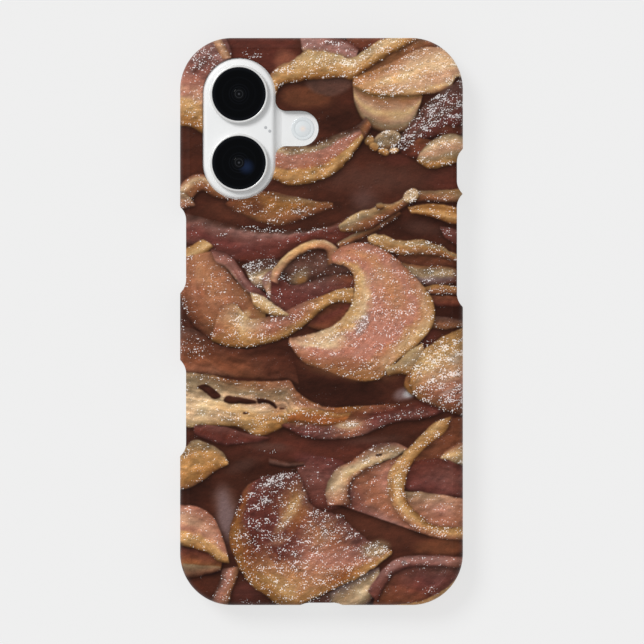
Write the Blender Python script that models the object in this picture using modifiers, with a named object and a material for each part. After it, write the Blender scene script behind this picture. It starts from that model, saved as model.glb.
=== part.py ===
"""Smartphone in a printed hard case, lying on its front with the case's back up.

Sizes are in metres. X runs across the width, Y towards the camera end and Z up.
Z is zero where the case's front lip rests, and the origin is under the middle.
"""

import math

import bmesh
import bpy

MM = 0.001

# Phone: outer sizes, and how its glass sits in the metal band
PHONE_WIDTH = 71.6 * MM
PHONE_LENGTH = 147.6 * MM
PHONE_THICKNESS = 7.8 * MM
PHONE_CORNER = 11.8 * MM
PHONE_EDGE = 0.8 * MM
RIM_SETBACK = 0.15 * MM
GLASS_INSET = 1.0 * MM
GLASS_THICKNESS = 0.9 * MM
GLASS_EDGE = 0.4 * MM
SEAM = 0.15 * MM

# Case: fit round the phone, wall, panel and lip
FIT_GAP = 0.25 * MM
CASE_WALL = 1.75 * MM
BACK_PANEL = 1.5 * MM
LIP_THICKNESS = 0.7 * MM
LIP_OVERLAP = 0.9 * MM
BACK_EDGE = 3.0 * MM
FRONT_EDGE = 1.2 * MM

# Camera island: two lenses in a pill, and a lamp beside them
LENS_X = -22.0 * MM
LENS_MIDDLE_Y = 51.5 * MM
LENS_PITCH = 18.3 * MM
CAMERA_HOLE_RADIUS = 9.7 * MM
LOBE_HALF_HEIGHT = 4.7 * MM
LOBE_END_X = -5.5 * MM
LOBE_FILLET = 2.8 * MM
ISLAND_FOOT_RADIUS = 11.36 * MM
ISLAND_HEIGHT = 1.9 * MM
ISLAND_RELIEF = 0.75 * MM
LENS_GLASS_RADIUS = 7.0 * MM
LENS_GLASS_THICKNESS = 0.8 * MM
LENS_HEIGHT = 3.5 * MM
RING_OUTER_RADIUS = 7.75 * MM
RING_BORE_RADIUS = 7.15 * MM
RING_SEAT_RADIUS = 6.4 * MM
RING_SEAT_DEPTH = 0.5 * MM
LAMP_X = -5.0 * MM
LAMP_RADIUS = 3.1 * MM
LAMP_THICKNESS = 0.5 * MM
MICROPHONE_RADIUS = 0.42 * MM
MICROPHONES = ((-14.9 * MM, 51.75 * MM), (-13.8 * MM, 50.8 * MM))

# Finger scoops in the case's sides: side (+1 or -1), the lowest and the highest Y
SCOOPS = {
    "action_scoop": (1, 34.1 * MM, 46.1 * MM),
    "volume_scoop": (1, 3.9 * MM, 34.1 * MM),
    "power_scoop": (-1, 7.6 * MM, 30.6 * MM),
    "shutter_scoop": (-1, -36.0 * MM, -10.3 * MM),
}
SCOOP_DEPTH = 1.65 * MM
SCOOP_END_RADIUS = 4.6 * MM
WINDOW_MARGIN = 1.75 * MM
WINDOW_TOP = 8.5 * MM
WINDOW_CORNER = 2.0 * MM

# Push buttons: side, middle Y and length
BUTTONS = {
    "action_button": (1, 40.1 * MM, 5.6 * MM),
    "volume_up_button": (1, 26.2 * MM, 10.4 * MM),
    "volume_down_button": (1, 12.0 * MM, 10.4 * MM),
    "power_button": (-1, 19.1 * MM, 15.6 * MM),
    "shutter_button": (-1, -23.1 * MM, 16.4 * MM),
}
BUTTON_WIDTH = 2.7 * MM
BUTTON_DEPTH = 1.4 * MM
BUTTON_PROUD = 0.35 * MM
BUTTON_EDGE = 0.22 * MM
BUTTON_GAP = 0.15 * MM
BUTTON_TRAVEL_ROOM = 0.5 * MM

# Bottom end: charging port, sound holes, screws and the case's openings for them
PORT_WIDTH = 9.0 * MM
PORT_HEIGHT = 3.2 * MM
PORT_DEPTH = 6.5 * MM
TONGUE_WIDTH = 6.7 * MM
TONGUE_HEIGHT = 0.7 * MM
TONGUE_LENGTH = 5.0 * MM
SOUND_HOLE_RADIUS = 0.65 * MM
SOUND_HOLE_DEPTH = 1.5 * MM
SOUND_HOLE_PITCH = 2.4 * MM
SOUND_HOLE_FIRST_X = 10.4 * MM
SOUND_HOLES_A_SIDE = 5
SCREW_X = 7.0 * MM
SCREW_RADIUS = 0.7 * MM
SCREW_LENGTH = 1.2 * MM
PORT_OPENING_WIDTH = 11.2 * MM
PORT_OPENING_TOP = 9.3 * MM
PORT_OPENING_CORNER = 2.5 * MM
SOUND_SLOT_START = 8.6 * MM
SOUND_SLOT_END = 22.6 * MM
SOUND_SLOT_HEIGHT = 3.6 * MM

# Facets
CORNER_STEPS = 12
END_STEPS = 5
LARGE_RIM = 2.0 * MM
LARGE_RIM_STEPS = 5
SMALL_RIM_STEPS = 2
TURN_STEPS = 40
LAMP_STEPS = 32
HOLE_STEPS = 10

# Levels and half sizes that follow from the above
DISPLAY_Z = LIP_THICKNESS + FIT_GAP
BACK_GLASS_Z = DISPLAY_Z + PHONE_THICKNESS
CAVITY_TOP = BACK_GLASS_Z + FIT_GAP
CASE_TOP = CAVITY_TOP + BACK_PANEL
MIDDLE_Z = (DISPLAY_Z + BACK_GLASS_Z) / 2
HALF_WIDTH = PHONE_WIDTH / 2
HALF_LENGTH = PHONE_LENGTH / 2
CASE_GROWTH = FIT_GAP + CASE_WALL
CASE_HALF_WIDTH = HALF_WIDTH + CASE_GROWTH
CASE_HALF_LENGTH = HALF_LENGTH + CASE_GROWTH
LENS_YS = {"upper": LENS_MIDDLE_Y + LENS_PITCH / 2, "lower": LENS_MIDDLE_Y - LENS_PITCH / 2}
ISLAND_Z = BACK_GLASS_Z + ISLAND_HEIGHT
LENS_TOP_Z = BACK_GLASS_Z + LENS_HEIGHT
CUT_PAST = 1.0 * MM


def clear_scene():
    for obj in list(bpy.data.objects):
        bpy.data.objects.remove(obj)


def new_collection(name):
    collection = bpy.data.collections.new(name)
    bpy.context.scene.collection.children.link(collection)
    return collection


def new_material(name, colour, roughness, metallic=0.0):
    material = bpy.data.materials.new(name)
    material.use_nodes = True
    shader = material.node_tree.nodes["Principled BSDF"]
    shader.inputs["Base Color"].default_value = (*colour, 1.0)
    shader.inputs["Roughness"].default_value = roughness
    shader.inputs["Metallic"].default_value = metallic
    return material


clear_scene()
PARTS = new_collection("phone_in_printed_case")
CUTTERS = new_collection("cutters")
PRINT = new_material("printed_plastic", (0.20, 0.075, 0.04), 0.3)
METAL = new_material("white_anodised_metal", (0.86, 0.86, 0.85), 0.32, 0.6)
WHITE_GLASS = new_material("white_back_glass", (0.88, 0.89, 0.88), 0.12)
BLACK_GLASS = new_material("black_glass", (0.006, 0.006, 0.008), 0.06)
LAMP_GLASS = new_material("lamp_window", (0.80, 0.83, 0.84), 0.25)
DARK_PLASTIC = new_material("dark_plastic", (0.03, 0.03, 0.035), 0.5)
STEEL = new_material("steel", (0.62, 0.62, 0.63), 0.3, 1.0)


def place(obj, location, material):
    """Puts a part in its collection, or a cutter, which has no material, among the cutters."""
    obj.location = location
    if material is None:
        CUTTERS.objects.link(obj)
        obj.hide_render = True
        obj.display_type = "WIRE"
    else:
        PARTS.objects.link(obj)
        obj.data.materials.append(material)
        if obj.type == "MESH":
            obj.data.shade_smooth()
            obj.data.set_sharp_from_angle(angle=math.radians(35))
    return obj


def bevel(bm, edges, radius, steps):
    bmesh.ops.bevel(
        bm,
        geom=edges,
        offset=radius,
        offset_type="OFFSET",
        segments=steps,
        profile=0.5,
        affect="EDGES",
        clamp_overlap=False,
    )


def rounded_block(name, low, high, corner, material=None, axis=2, rims=(0, 0), steps=CORNER_STEPS):
    """A box from corner low to corner high. Its edges along the axis are rounded by corner,
    and the edges round its low and high end faces by the two rims."""
    size = [h - l for l, h in zip(low, high)]
    bm = bmesh.new()
    bmesh.ops.create_cube(bm, size=1.0)
    bmesh.ops.scale(bm, vec=size, verts=bm.verts)
    along = [e for e in bm.edges if abs(e.verts[0].co[axis] - e.verts[1].co[axis]) > size[axis] / 2]
    if corner:
        bevel(bm, along, corner, steps)
    for side, rim in zip((-1, 1), rims):
        if not rim:
            continue
        bm.faces.ensure_lookup_table()
        bm.normal_update()
        end = max(bm.faces, key=lambda f: side * f.calc_center_median()[axis])
        bevel(bm, list(end.edges), rim, LARGE_RIM_STEPS if rim > LARGE_RIM else SMALL_RIM_STEPS)
    bmesh.ops.recalc_face_normals(bm, faces=bm.faces)
    mesh = bpy.data.meshes.new(name)
    bm.to_mesh(mesh)
    bm.free()
    middle = [(l + h) / 2 for l, h in zip(low, high)]
    return place(bpy.data.objects.new(name, mesh), middle, material)


def turned(name, profile, location, material=None, steps=TURN_STEPS, closed=False):
    """A profile of (radius, height) points turned about a vertical axis at the location.
    It runs outwards at the top, then down the outer side. A ring's profile is a closed loop."""
    count = len(profile)
    edges = [(i, i + 1) for i in range(count - 1)] + ([(count - 1, 0)] if closed else [])
    mesh = bpy.data.meshes.new(name)
    mesh.from_pydata([(r, 0, z) for r, z in profile], edges, [])
    obj = bpy.data.objects.new(name, mesh)
    screw = obj.modifiers.new("Screw", "SCREW")
    screw.axis = "Z"
    screw.angle = 2 * math.pi
    screw.steps = screw.render_steps = steps
    screw.use_merge_vertices = True
    screw.merge_threshold = 0.00001
    screw.use_smooth_shade = True
    return place(obj, location, material)


def disc_profile(radius, thickness, edge):
    """Half section of a disc with its top at zero and a small 45 degree edge at the top."""
    return [(0, 0), (radius - edge, 0), (radius, -edge), (radius, -thickness), (0, -thickness)]


def cut(obj, *cutters):
    for cutter in cutters:
        boolean = obj.modifiers.new(cutter.name, "BOOLEAN")
        boolean.operation = "DIFFERENCE"
        boolean.solver = "EXACT"
        boolean.object = cutter


def join(obj, other):
    boolean = obj.modifiers.new(other.name, "BOOLEAN")
    boolean.operation = "UNION"
    boolean.solver = "EXACT"
    boolean.object = other


def centred_plate(name, half_width, half_length, z_low, z_high, corner, material=None, rims=(0, 0)):
    return rounded_block(
        name,
        (-half_width, -half_length, z_low),
        (half_width, half_length, z_high),
        corner,
        material,
        rims=rims,
    )


def arc(centre_x, centre_y, radius, start, end, steps):
    """Points along an arc, with its angles in degrees."""
    angles = [math.radians(start + (end - start) * i / steps) for i in range(steps + 1)]
    return [(centre_x + radius * math.cos(a), centre_y + radius * math.sin(a)) for a in angles]


def camera_outline(radius):
    """The pill round both lenses with the lamp's lobe on its right, anticlockwise."""
    side = LENS_X + radius
    fillet_x = side + LOBE_FILLET
    fillet_rise = LOBE_HALF_HEIGHT + LOBE_FILLET
    low, high = LENS_MIDDLE_Y - fillet_rise, LENS_MIDDLE_Y + fillet_rise
    return (
        arc(LENS_X, LENS_YS["upper"], radius, 0, 180, 2 * CORNER_STEPS)
        + arc(LENS_X, LENS_YS["lower"], radius, 180, 360, 2 * CORNER_STEPS)
        + arc(fillet_x, low, LOBE_FILLET, 180, 90, CORNER_STEPS // 2)
        + arc(LOBE_END_X, LENS_MIDDLE_Y, LOBE_HALF_HEIGHT, -90, 90, CORNER_STEPS)
        + arc(fillet_x, high, LOBE_FILLET, 270, 180, CORNER_STEPS // 2)
    )


def mesh_of_curve(curve_obj, name):
    """The curve's solid as a mesh object in the same place, with its caps welded. The curve goes."""
    graph = bpy.context.evaluated_depsgraph_get()
    mesh = bpy.data.meshes.new_from_object(curve_obj.evaluated_get(graph))
    bm = bmesh.new()
    bm.from_mesh(mesh)
    bmesh.ops.remove_doubles(bm, verts=bm.verts, dist=0.000001)
    bmesh.ops.recalc_face_normals(bm, faces=bm.faces)
    bm.to_mesh(mesh)
    bm.free()
    matrix = curve_obj.matrix_world.copy()
    bpy.data.objects.remove(curve_obj)
    obj = bpy.data.objects.new(name, mesh)
    obj.matrix_world = matrix
    return obj


def outline_cutter(name, outline, z_low, z_high):
    """A flat outline given a thickness, from z_low to z_high."""
    curve = bpy.data.curves.new(name, "CURVE")
    curve.dimensions = "2D"
    curve.fill_mode = "BOTH"
    curve.extrude = (z_high - z_low) / 2
    spline = curve.splines.new("POLY")
    spline.points.add(len(outline) - 1)
    for point, (x, y) in zip(spline.points, outline):
        point.co = (x, y, 0, 1)
    spline.use_cyclic_u = True
    guide = bpy.data.objects.new(name + "_guide", curve)
    CUTTERS.objects.link(guide)
    bpy.context.view_layer.update()
    return place(mesh_of_curve(guide, name), (0, 0, (z_low + z_high) / 2), None)


def stretched_turn(name, profile, location, straight, material=None):
    """A turned shape parted along X, with its halves moved apart to leave a straight middle."""
    half_step = math.pi / TURN_STEPS
    source = turned(name + "_source", profile, (0, 0, 0))
    for vertex in source.data.vertices:
        radius = vertex.co.x / math.cos(half_step)
        vertex.co.x, vertex.co.y = radius * math.cos(half_step), radius * math.sin(half_step)
    bpy.context.view_layer.update()
    graph = bpy.context.evaluated_depsgraph_get()
    mesh = bpy.data.meshes.new_from_object(source.evaluated_get(graph))
    bpy.data.objects.remove(source)
    bm = bmesh.new()
    bm.from_mesh(mesh)
    ends = [v for v in bm.verts if math.hypot(v.co.x, v.co.y) < SEAM]
    bmesh.ops.delete(bm, geom=ends, context="VERTS")
    for vertex in bm.verts:
        vertex.co.y += math.copysign(straight / 2, vertex.co.y)
    bmesh.ops.holes_fill(bm, edges=[e for e in bm.edges if e.is_boundary])
    bmesh.ops.recalc_face_normals(bm, faces=bm.faces)
    bm.to_mesh(mesh)
    bm.free()
    return place(bpy.data.objects.new(name, mesh), location, material)


def make_scoop(name, side, y_low, y_high):
    """The stadium that leaves a finger scoop: a flat floor whose ends curve out to the side,
    meeting it at y_low and y_high."""
    floor = CASE_HALF_WIDTH - SCOOP_DEPTH
    run = math.sqrt(SCOOP_END_RADIUS**2 - (SCOOP_END_RADIUS - SCOOP_DEPTH) ** 2)
    reach = SCOOP_END_RADIUS - run
    xs = sorted((side * floor, side * (floor + 2 * SCOOP_END_RADIUS)))
    low = (xs[0], y_low - reach, -CUT_PAST)
    high = (xs[1], y_high + reach, CASE_TOP + CUT_PAST)
    return rounded_block(name, low, high, SCOOP_END_RADIUS)


def make_window(name, side, y_low, y_high):
    """The opening in the wall at a scoop's floor, open to the front, with round upper corners."""
    inner = HALF_WIDTH - LIP_OVERLAP - FIT_GAP
    xs = sorted((side * inner, side * (CASE_HALF_WIDTH + CUT_PAST)))
    low = (xs[0], y_low + WINDOW_MARGIN, -2 * WINDOW_CORNER)
    high = (xs[1], y_high - WINDOW_MARGIN, WINDOW_TOP)
    return rounded_block(name, low, high, WINDOW_CORNER, axis=0, steps=END_STEPS)


def end_opening(name, x_low, x_high, z_low, z_high, corner):
    """An opening through the case's bottom wall, as deep as the lip."""
    low = (x_low, -CASE_HALF_LENGTH - CUT_PAST, z_low)
    high = (x_high, -HALF_LENGTH + LIP_OVERLAP + FIT_GAP, z_high)
    return rounded_block(name, low, high, corner, axis=1, steps=END_STEPS)


def make_case():
    case = centred_plate(
        "case_shell",
        CASE_HALF_WIDTH,
        CASE_HALF_LENGTH,
        0,
        CASE_TOP,
        PHONE_CORNER + CASE_GROWTH,
        PRINT,
        rims=(FRONT_EDGE, BACK_EDGE),
    )
    cavity = centred_plate(
        "cavity",
        HALF_WIDTH + FIT_GAP,
        HALF_LENGTH + FIT_GAP,
        LIP_THICKNESS,
        CAVITY_TOP,
        PHONE_CORNER + FIT_GAP,
        rims=(PHONE_EDGE + FIT_GAP, PHONE_EDGE + FIT_GAP),
    )
    front = centred_plate(
        "front_opening",
        HALF_WIDTH - LIP_OVERLAP,
        HALF_LENGTH - LIP_OVERLAP,
        -CUT_PAST,
        LIP_THICKNESS + CUT_PAST,
        PHONE_CORNER - LIP_OVERLAP,
    )
    cut(case, cavity, front)
    hole = outline_cutter(
        "camera_hole", camera_outline(CAMERA_HOLE_RADIUS), CAVITY_TOP - CUT_PAST, CASE_TOP + CUT_PAST
    )
    relief_radius = ISLAND_FOOT_RADIUS + 2 * FIT_GAP
    relief = rounded_block(
        "island_relief",
        (LENS_X - relief_radius, LENS_YS["lower"] - relief_radius, CAVITY_TOP - CUT_PAST),
        (LENS_X + relief_radius, LENS_YS["upper"] + relief_radius, CAVITY_TOP + ISLAND_RELIEF),
        relief_radius - SEAM,
    )
    cut(case, hole, relief)
    for name, (side, y_low, y_high) in SCOOPS.items():
        cut(case, make_scoop(name, side, y_low, y_high))
        cut(case, make_window(name + "_window", side, y_low, y_high))
    half_port, port_corner = PORT_OPENING_WIDTH / 2, PORT_OPENING_CORNER
    half_slot = SOUND_SLOT_HEIGHT / 2
    port_low = -2 * port_corner
    cut(
        case,
        end_opening("port_opening", -half_port, half_port, port_low, PORT_OPENING_TOP, port_corner),
    )
    for side in (-1, 1):
        xs = sorted((side * SOUND_SLOT_START, side * SOUND_SLOT_END))
        slot = end_opening(
            f"sound_slot_{side}", *xs, MIDDLE_Z - half_slot, MIDDLE_Z + half_slot, half_slot - SEAM
        )
        cut(case, slot)


def make_phone_body():
    """The metal band and everything sealed inside it, as one solid."""
    body = centred_plate(
        "phone_body",
        HALF_WIDTH,
        HALF_LENGTH,
        DISPLAY_Z + RIM_SETBACK,
        BACK_GLASS_Z - RIM_SETBACK,
        PHONE_CORNER,
        METAL,
        rims=(PHONE_EDGE, PHONE_EDGE),
    )
    inset = GLASS_INSET - SEAM
    pocket_depth = GLASS_THICKNESS + SEAM
    for name, low, high in (
        ("display_pocket", DISPLAY_Z - CUT_PAST, DISPLAY_Z + pocket_depth),
        ("back_pocket", BACK_GLASS_Z - pocket_depth, BACK_GLASS_Z + CUT_PAST),
    ):
        pocket = centred_plate(
            name, HALF_WIDTH - inset, HALF_LENGTH - inset, low, high, PHONE_CORNER - inset
        )
        cut(body, pocket)
    for name, (side, y, length) in BUTTONS.items():
        half = length / 2 + BUTTON_GAP
        width = BUTTON_WIDTH / 2 + BUTTON_GAP
        inner = HALF_WIDTH - BUTTON_DEPTH - BUTTON_TRAVEL_ROOM
        xs = sorted((side * inner, side * (HALF_WIDTH + CUT_PAST)))
        low = (xs[0], y - half, MIDDLE_Z - width)
        high = (xs[1], y + half, MIDDLE_Z + width)
        cut(body, rounded_block(name + "_pocket", low, high, width - SEAM, axis=0, steps=END_STEPS))
    cut(body, make_port_pocket(), *make_sound_holes(), *make_screw_pockets())


def make_port_pocket():
    half_width, half_height = PORT_WIDTH / 2, PORT_HEIGHT / 2
    low = (-half_width, -HALF_LENGTH - CUT_PAST, MIDDLE_Z - half_height)
    high = (half_width, -HALF_LENGTH + PORT_DEPTH, MIDDLE_Z + half_height)
    return rounded_block("port_pocket", low, high, half_height - SEAM, axis=1, steps=END_STEPS)


def end_bore(name, x, radius, depth):
    """A round blind hole drilled into the phone's bottom end."""
    length = depth + CUT_PAST
    profile = [(0, length), (radius, length), (radius, 0), (0, 0)]
    bore = turned(name, profile, (x, -HALF_LENGTH - CUT_PAST, MIDDLE_Z), steps=HOLE_STEPS)
    bore.rotation_euler = (-math.pi / 2, 0, 0)
    return bore


def make_sound_holes():
    return [
        end_bore(
            f"sound_hole_{side}_{i}",
            side * (SOUND_HOLE_FIRST_X + i * SOUND_HOLE_PITCH),
            SOUND_HOLE_RADIUS,
            SOUND_HOLE_DEPTH,
        )
        for side in (-1, 1)
        for i in range(SOUND_HOLES_A_SIDE)
    ]


def make_screw_pockets():
    radius = SCREW_RADIUS + SEAM
    return [
        end_bore(f"screw_pocket_{side}", side * SCREW_X, radius, SCREW_LENGTH + SEAM + SCREW_RADIUS / 4)
        for side in (-1, 1)
    ]


def make_screws():
    for side, word in ((-1, "left"), (1, "right")):
        y = -HALF_LENGTH + SCREW_RADIUS / 4
        profile = disc_profile(SCREW_RADIUS, SCREW_LENGTH, SCREW_RADIUS / 4)
        screw = turned(f"end_screw_{word}", profile, (side * SCREW_X, y, MIDDLE_Z), STEEL, HOLE_STEPS)
        screw.rotation_euler = (math.pi / 2, 0, 0)


def make_port_tongue():
    start = -HALF_LENGTH + PORT_DEPTH - SEAM
    low = (-TONGUE_WIDTH / 2, start - TONGUE_LENGTH, MIDDLE_Z - TONGUE_HEIGHT / 2)
    high = (TONGUE_WIDTH / 2, start, MIDDLE_Z + TONGUE_HEIGHT / 2)
    rounded_block("port_tongue", low, high, TONGUE_HEIGHT / 3, DARK_PLASTIC, axis=1, steps=2)


def island_profile():
    """Half section of the camera island: a flat top with a soft edge, a steep side,
    and a hollow sweep out to the foot. Radii are from the lens axis, heights from the glass."""
    top = ISLAND_HEIGHT
    return [
        (SEAM / 2, top),
        (8.85 * MM, top),
        (9.15 * MM, top - 0.10 * MM),
        (9.28 * MM, top - 0.35 * MM),
        (9.32 * MM, 1.05 * MM),
        (9.50 * MM, 0.65 * MM),
        (9.95 * MM, 0.32 * MM),
        (10.6 * MM, 0.12 * MM),
        (ISLAND_FOOT_RADIUS, 0.04 * MM),
        (ISLAND_FOOT_RADIUS, -GLASS_THICKNESS / 2),
        (SEAM / 2, -GLASS_THICKNESS / 2),
    ]


def make_back_glass():
    """The back glass and its raised camera island, one piece as on the real phone."""
    plate = centred_plate(
        "back_glass",
        HALF_WIDTH - GLASS_INSET,
        HALF_LENGTH - GLASS_INSET,
        BACK_GLASS_Z - GLASS_THICKNESS,
        BACK_GLASS_Z,
        PHONE_CORNER - GLASS_INSET,
        WHITE_GLASS,
        rims=(0, GLASS_EDGE),
    )
    island = stretched_turn(
        "island", island_profile(), (LENS_X, LENS_MIDDLE_Y, BACK_GLASS_Z), LENS_PITCH
    )
    join(plate, island)
    for word, y in LENS_YS.items():
        radius = RING_OUTER_RADIUS + SEAM
        profile = [(0, CUT_PAST), (radius, CUT_PAST), (radius, -RING_SEAT_DEPTH), (0, -RING_SEAT_DEPTH)]
        cut(plate, turned(f"ring_seat_{word}", profile, (LENS_X, y, ISLAND_Z)))
    for i, (x, y) in enumerate(MICROPHONES):
        radius, depth = MICROPHONE_RADIUS, RING_SEAT_DEPTH
        profile = [(0, CUT_PAST), (radius, CUT_PAST), (radius, -depth), (0, -depth)]
        cut(plate, turned(f"microphone_{i}", profile, (x, y, ISLAND_Z), steps=HOLE_STEPS))
    radius, depth = LAMP_RADIUS + SEAM, LAMP_THICKNESS
    profile = [(0, CUT_PAST), (radius, CUT_PAST), (radius, -depth), (0, -depth)]
    cut(plate, turned("lamp_seat", profile, (LAMP_X, LENS_MIDDLE_Y, BACK_GLASS_Z), steps=LAMP_STEPS))


def make_display_glass():
    centred_plate(
        "display_glass",
        HALF_WIDTH - GLASS_INSET,
        HALF_LENGTH - GLASS_INSET,
        DISPLAY_Z,
        DISPLAY_Z + GLASS_THICKNESS,
        PHONE_CORNER - GLASS_INSET,
        BLACK_GLASS,
        rims=(GLASS_EDGE, 0),
    )


def ring_profile():
    """Section of a lens ring, with its top at zero: a flat rim with soft edges, a bore that
    holds the glass, and a seat under the glass."""
    foot = -(LENS_TOP_Z - ISLAND_Z) - RING_SEAT_DEPTH + SEAM
    seat = -0.2 * MM - LENS_GLASS_THICKNESS - SEAM
    soft = 0.15 * MM
    return [
        (RING_BORE_RADIUS, -soft / 2),
        (RING_BORE_RADIUS + soft / 2, 0),
        (RING_OUTER_RADIUS - 2 * soft, 0),
        (RING_OUTER_RADIUS, -2 * soft),
        (RING_OUTER_RADIUS, foot),
        (RING_SEAT_RADIUS, foot),
        (RING_SEAT_RADIUS, seat),
        (RING_BORE_RADIUS, seat),
    ]


def make_lenses():
    for word, y in LENS_YS.items():
        top = (LENS_X, y, LENS_TOP_Z)
        turned(f"lens_ring_{word}", ring_profile(), top, METAL, closed=True)
        glass_top = (LENS_X, y, LENS_TOP_Z - 0.2 * MM)
        profile = disc_profile(LENS_GLASS_RADIUS, LENS_GLASS_THICKNESS, SEAM)
        turned(f"lens_glass_{word}", profile, glass_top, BLACK_GLASS)


def make_lamp():
    profile = disc_profile(LAMP_RADIUS, LAMP_THICKNESS - SEAM, SEAM / 2)
    turned("lamp_window", profile, (LAMP_X, LENS_MIDDLE_Y, BACK_GLASS_Z), LAMP_GLASS, LAMP_STEPS)


def make_buttons():
    """Each button is made for the right side, and one for the left is then turned half round."""
    for name, (side, y, length) in BUTTONS.items():
        low = (HALF_WIDTH - BUTTON_DEPTH, y - length / 2, MIDDLE_Z - BUTTON_WIDTH / 2)
        high = (HALF_WIDTH + BUTTON_PROUD, y + length / 2, MIDDLE_Z + BUTTON_WIDTH / 2)
        corner = BUTTON_WIDTH / 2 - SEAM
        rims = (0, BUTTON_EDGE)
        button = rounded_block(name, low, high, corner, METAL, axis=0, rims=rims, steps=END_STEPS)
        if side < 0:
            button.location.x = -button.location.x
            button.rotation_euler.z = math.pi


make_case()
make_phone_body()
make_back_glass()
make_display_glass()
make_lenses()
make_lamp()
make_buttons()
make_port_tongue()
make_screws()
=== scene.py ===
"""Smartphone in a printed hard case: the looks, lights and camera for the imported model.

Shapes are worked out in millimetres and go into meshes in metres. X runs across the
width, Y towards the cameras and Z up out of the printed back.
"""

import math

import bmesh
import bpy
import numpy as np
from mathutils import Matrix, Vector
from mathutils.geometry import delaunay_2d_cdt


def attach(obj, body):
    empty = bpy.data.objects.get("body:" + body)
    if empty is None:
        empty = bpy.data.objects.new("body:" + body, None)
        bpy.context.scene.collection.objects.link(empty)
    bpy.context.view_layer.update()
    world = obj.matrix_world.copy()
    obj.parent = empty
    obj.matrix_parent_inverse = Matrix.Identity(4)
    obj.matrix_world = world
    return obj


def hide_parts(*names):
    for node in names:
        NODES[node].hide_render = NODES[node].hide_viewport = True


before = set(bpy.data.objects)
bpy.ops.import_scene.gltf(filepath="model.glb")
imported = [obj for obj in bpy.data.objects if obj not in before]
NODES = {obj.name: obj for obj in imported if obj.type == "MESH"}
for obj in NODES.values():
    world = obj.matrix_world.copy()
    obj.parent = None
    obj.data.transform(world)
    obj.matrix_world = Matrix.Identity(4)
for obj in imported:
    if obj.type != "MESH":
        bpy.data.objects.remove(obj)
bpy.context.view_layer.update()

MM = 0.001

# The case's outer form, in millimetres
HALF_WIDTH = 37.8
HALF_LENGTH = 75.8
CORNER = 13.8
TOP_Z = 10.5
EDGE = 3.0
LIP_EDGE = 1.2
LIP_INSET = 2.9
CORE_X = HALF_WIDTH - EDGE
CORE_Y = HALF_LENGTH - EDGE
CORE_CORNER = CORNER - EDGE

# Lengths along the skin, measured out from the flat back
ARC_LENGTH = EDGE * math.pi / 2
WALL_LENGTH = TOP_Z - EDGE - LIP_EDGE
LIP_ARC_LENGTH = LIP_EDGE * math.pi / 2
LIP_LENGTH = LIP_INSET - LIP_EDGE
SKIRT = ARC_LENGTH + WALL_LENGTH + LIP_ARC_LENGTH + LIP_LENGTH

# Openings: lens pair, lamp, button windows, port and sound slots
LENS_X = -22.0
LENS_YS = {"upper": 60.65, "lower": 42.35}
LENS_MIDDLE_Y = 51.5
HOLE_RADIUS = 9.7
LOBE_HALF_HEIGHT = 4.7
LOBE_END_X = -5.5
LOBE_FILLET = 2.8
RELIEF_RADIUS = 11.86
RELIEF_DEPTH = 0.75
LAMP_X = -5.0
SCOOP_FLOOR = 36.15
SCOOP_RADIUS = 4.6
SCOOPS = {
    "action": (1, 34.1, 46.1),
    "volume": (1, 3.9, 34.1),
    "power": (-1, 7.6, 30.6),
    "shutter": (-1, -36.0, -10.3),
}
WINDOW_MARGIN = 1.75
WINDOW_TOP = 8.5
WINDOW_CORNER = 2.0
PORT_HALF_WIDTH = 5.6
PORT_TOP = 9.3
PORT_CORNER = 2.5
SLOT_XS = (8.6, 22.6)
SLOT_ZS = (3.05, 6.65)
SLOT_CORNER = 1.75

# Mesh steps of the printed case
FINE_STEP = 0.32
PANEL_STEP = 0.255
WALL_STEP = 0.9
INSIDE_STEP = 2.6
BED_RING = (-0.4, 1.2)
FINE_REACH = 5.0
RIM_ROUND = 0.25

# Past this length along the edge the print is let out steadily, and more on the wall
PRINT_TURN = 2.78
PRINT_TURN_OUT = 2.4
PRINT_LET_OUT = 0.6
PRINT_WALL_LET_OUT = 0.3

# What the gloss adds to every colour, taken off the print beforehand
SHEEN = 0.0045

# The flat back is laid in as panels, so that its mesh can be fine
PANEL_BREAKS = (-36.0, -2.0, 31.5)
PANEL_BED = 10.1
PANEL_UNDER = 10.08


def smoothstep(low, high, value):
    """0 below low, 1 above high, and the cubic 3f^2 - 2f^3 between."""
    f = np.clip((value - low) / (high - low), 0.0, 1.0)
    return f * f * (3.0 - 2.0 * f)


def lattice(ix, iy, seed):
    """A fixed pseudo-random number from 0 to 1 for each whole-number point."""
    h = ix.astype(np.int64) * 374761393 + iy.astype(np.int64) * 668265263 + seed * 974634777
    h = h & 0xFFFFFFFF
    h = ((h ^ (h >> 13)) * 1274126177) & 0xFFFFFFFF
    h = ((h ^ (h >> 16)) * 2246822519) & 0xFFFFFFFF
    return (h ^ (h >> 15)).astype(np.float64) / 4294967295.0


def noise(x, y, seed):
    """Smooth noise from -1 to 1: lattice numbers blended by the cubic step in x and y."""
    ix, iy = np.floor(x), np.floor(y)
    fx, fy = smoothstep(0, 1, x - ix), smoothstep(0, 1, y - iy)
    low = lattice(ix, iy, seed) * (1 - fx) + lattice(ix + 1, iy, seed) * fx
    high = lattice(ix, iy + 1, seed) * (1 - fx) + lattice(ix + 1, iy + 1, seed) * fx
    return 2.0 * (low * (1 - fy) + high * fy) - 1.0


def cloud(x, y, seed, octaves=3):
    """Noise summed at doubling frequency and halving strength."""
    total, strength = 0.0, 1.0
    for octave in range(octaves):
        total = total + strength * noise(x * 2**octave, y * 2**octave, seed + octave)
        strength *= 0.5
    return total / (2.0 - 2.0 * strength)


def to_linear(display):
    """Display colours from 0 to 1 as the linear values that a shader takes."""
    return np.where(display < 0.04045, display / 12.92, ((display + 0.055) / 1.055) ** 2.4)


def edge_points(words):
    """Turns "3,4 5,6" into an array of points, a point to a row."""
    return np.array([[float(value) for value in pair.split(",")] for pair in words.split()])


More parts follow.
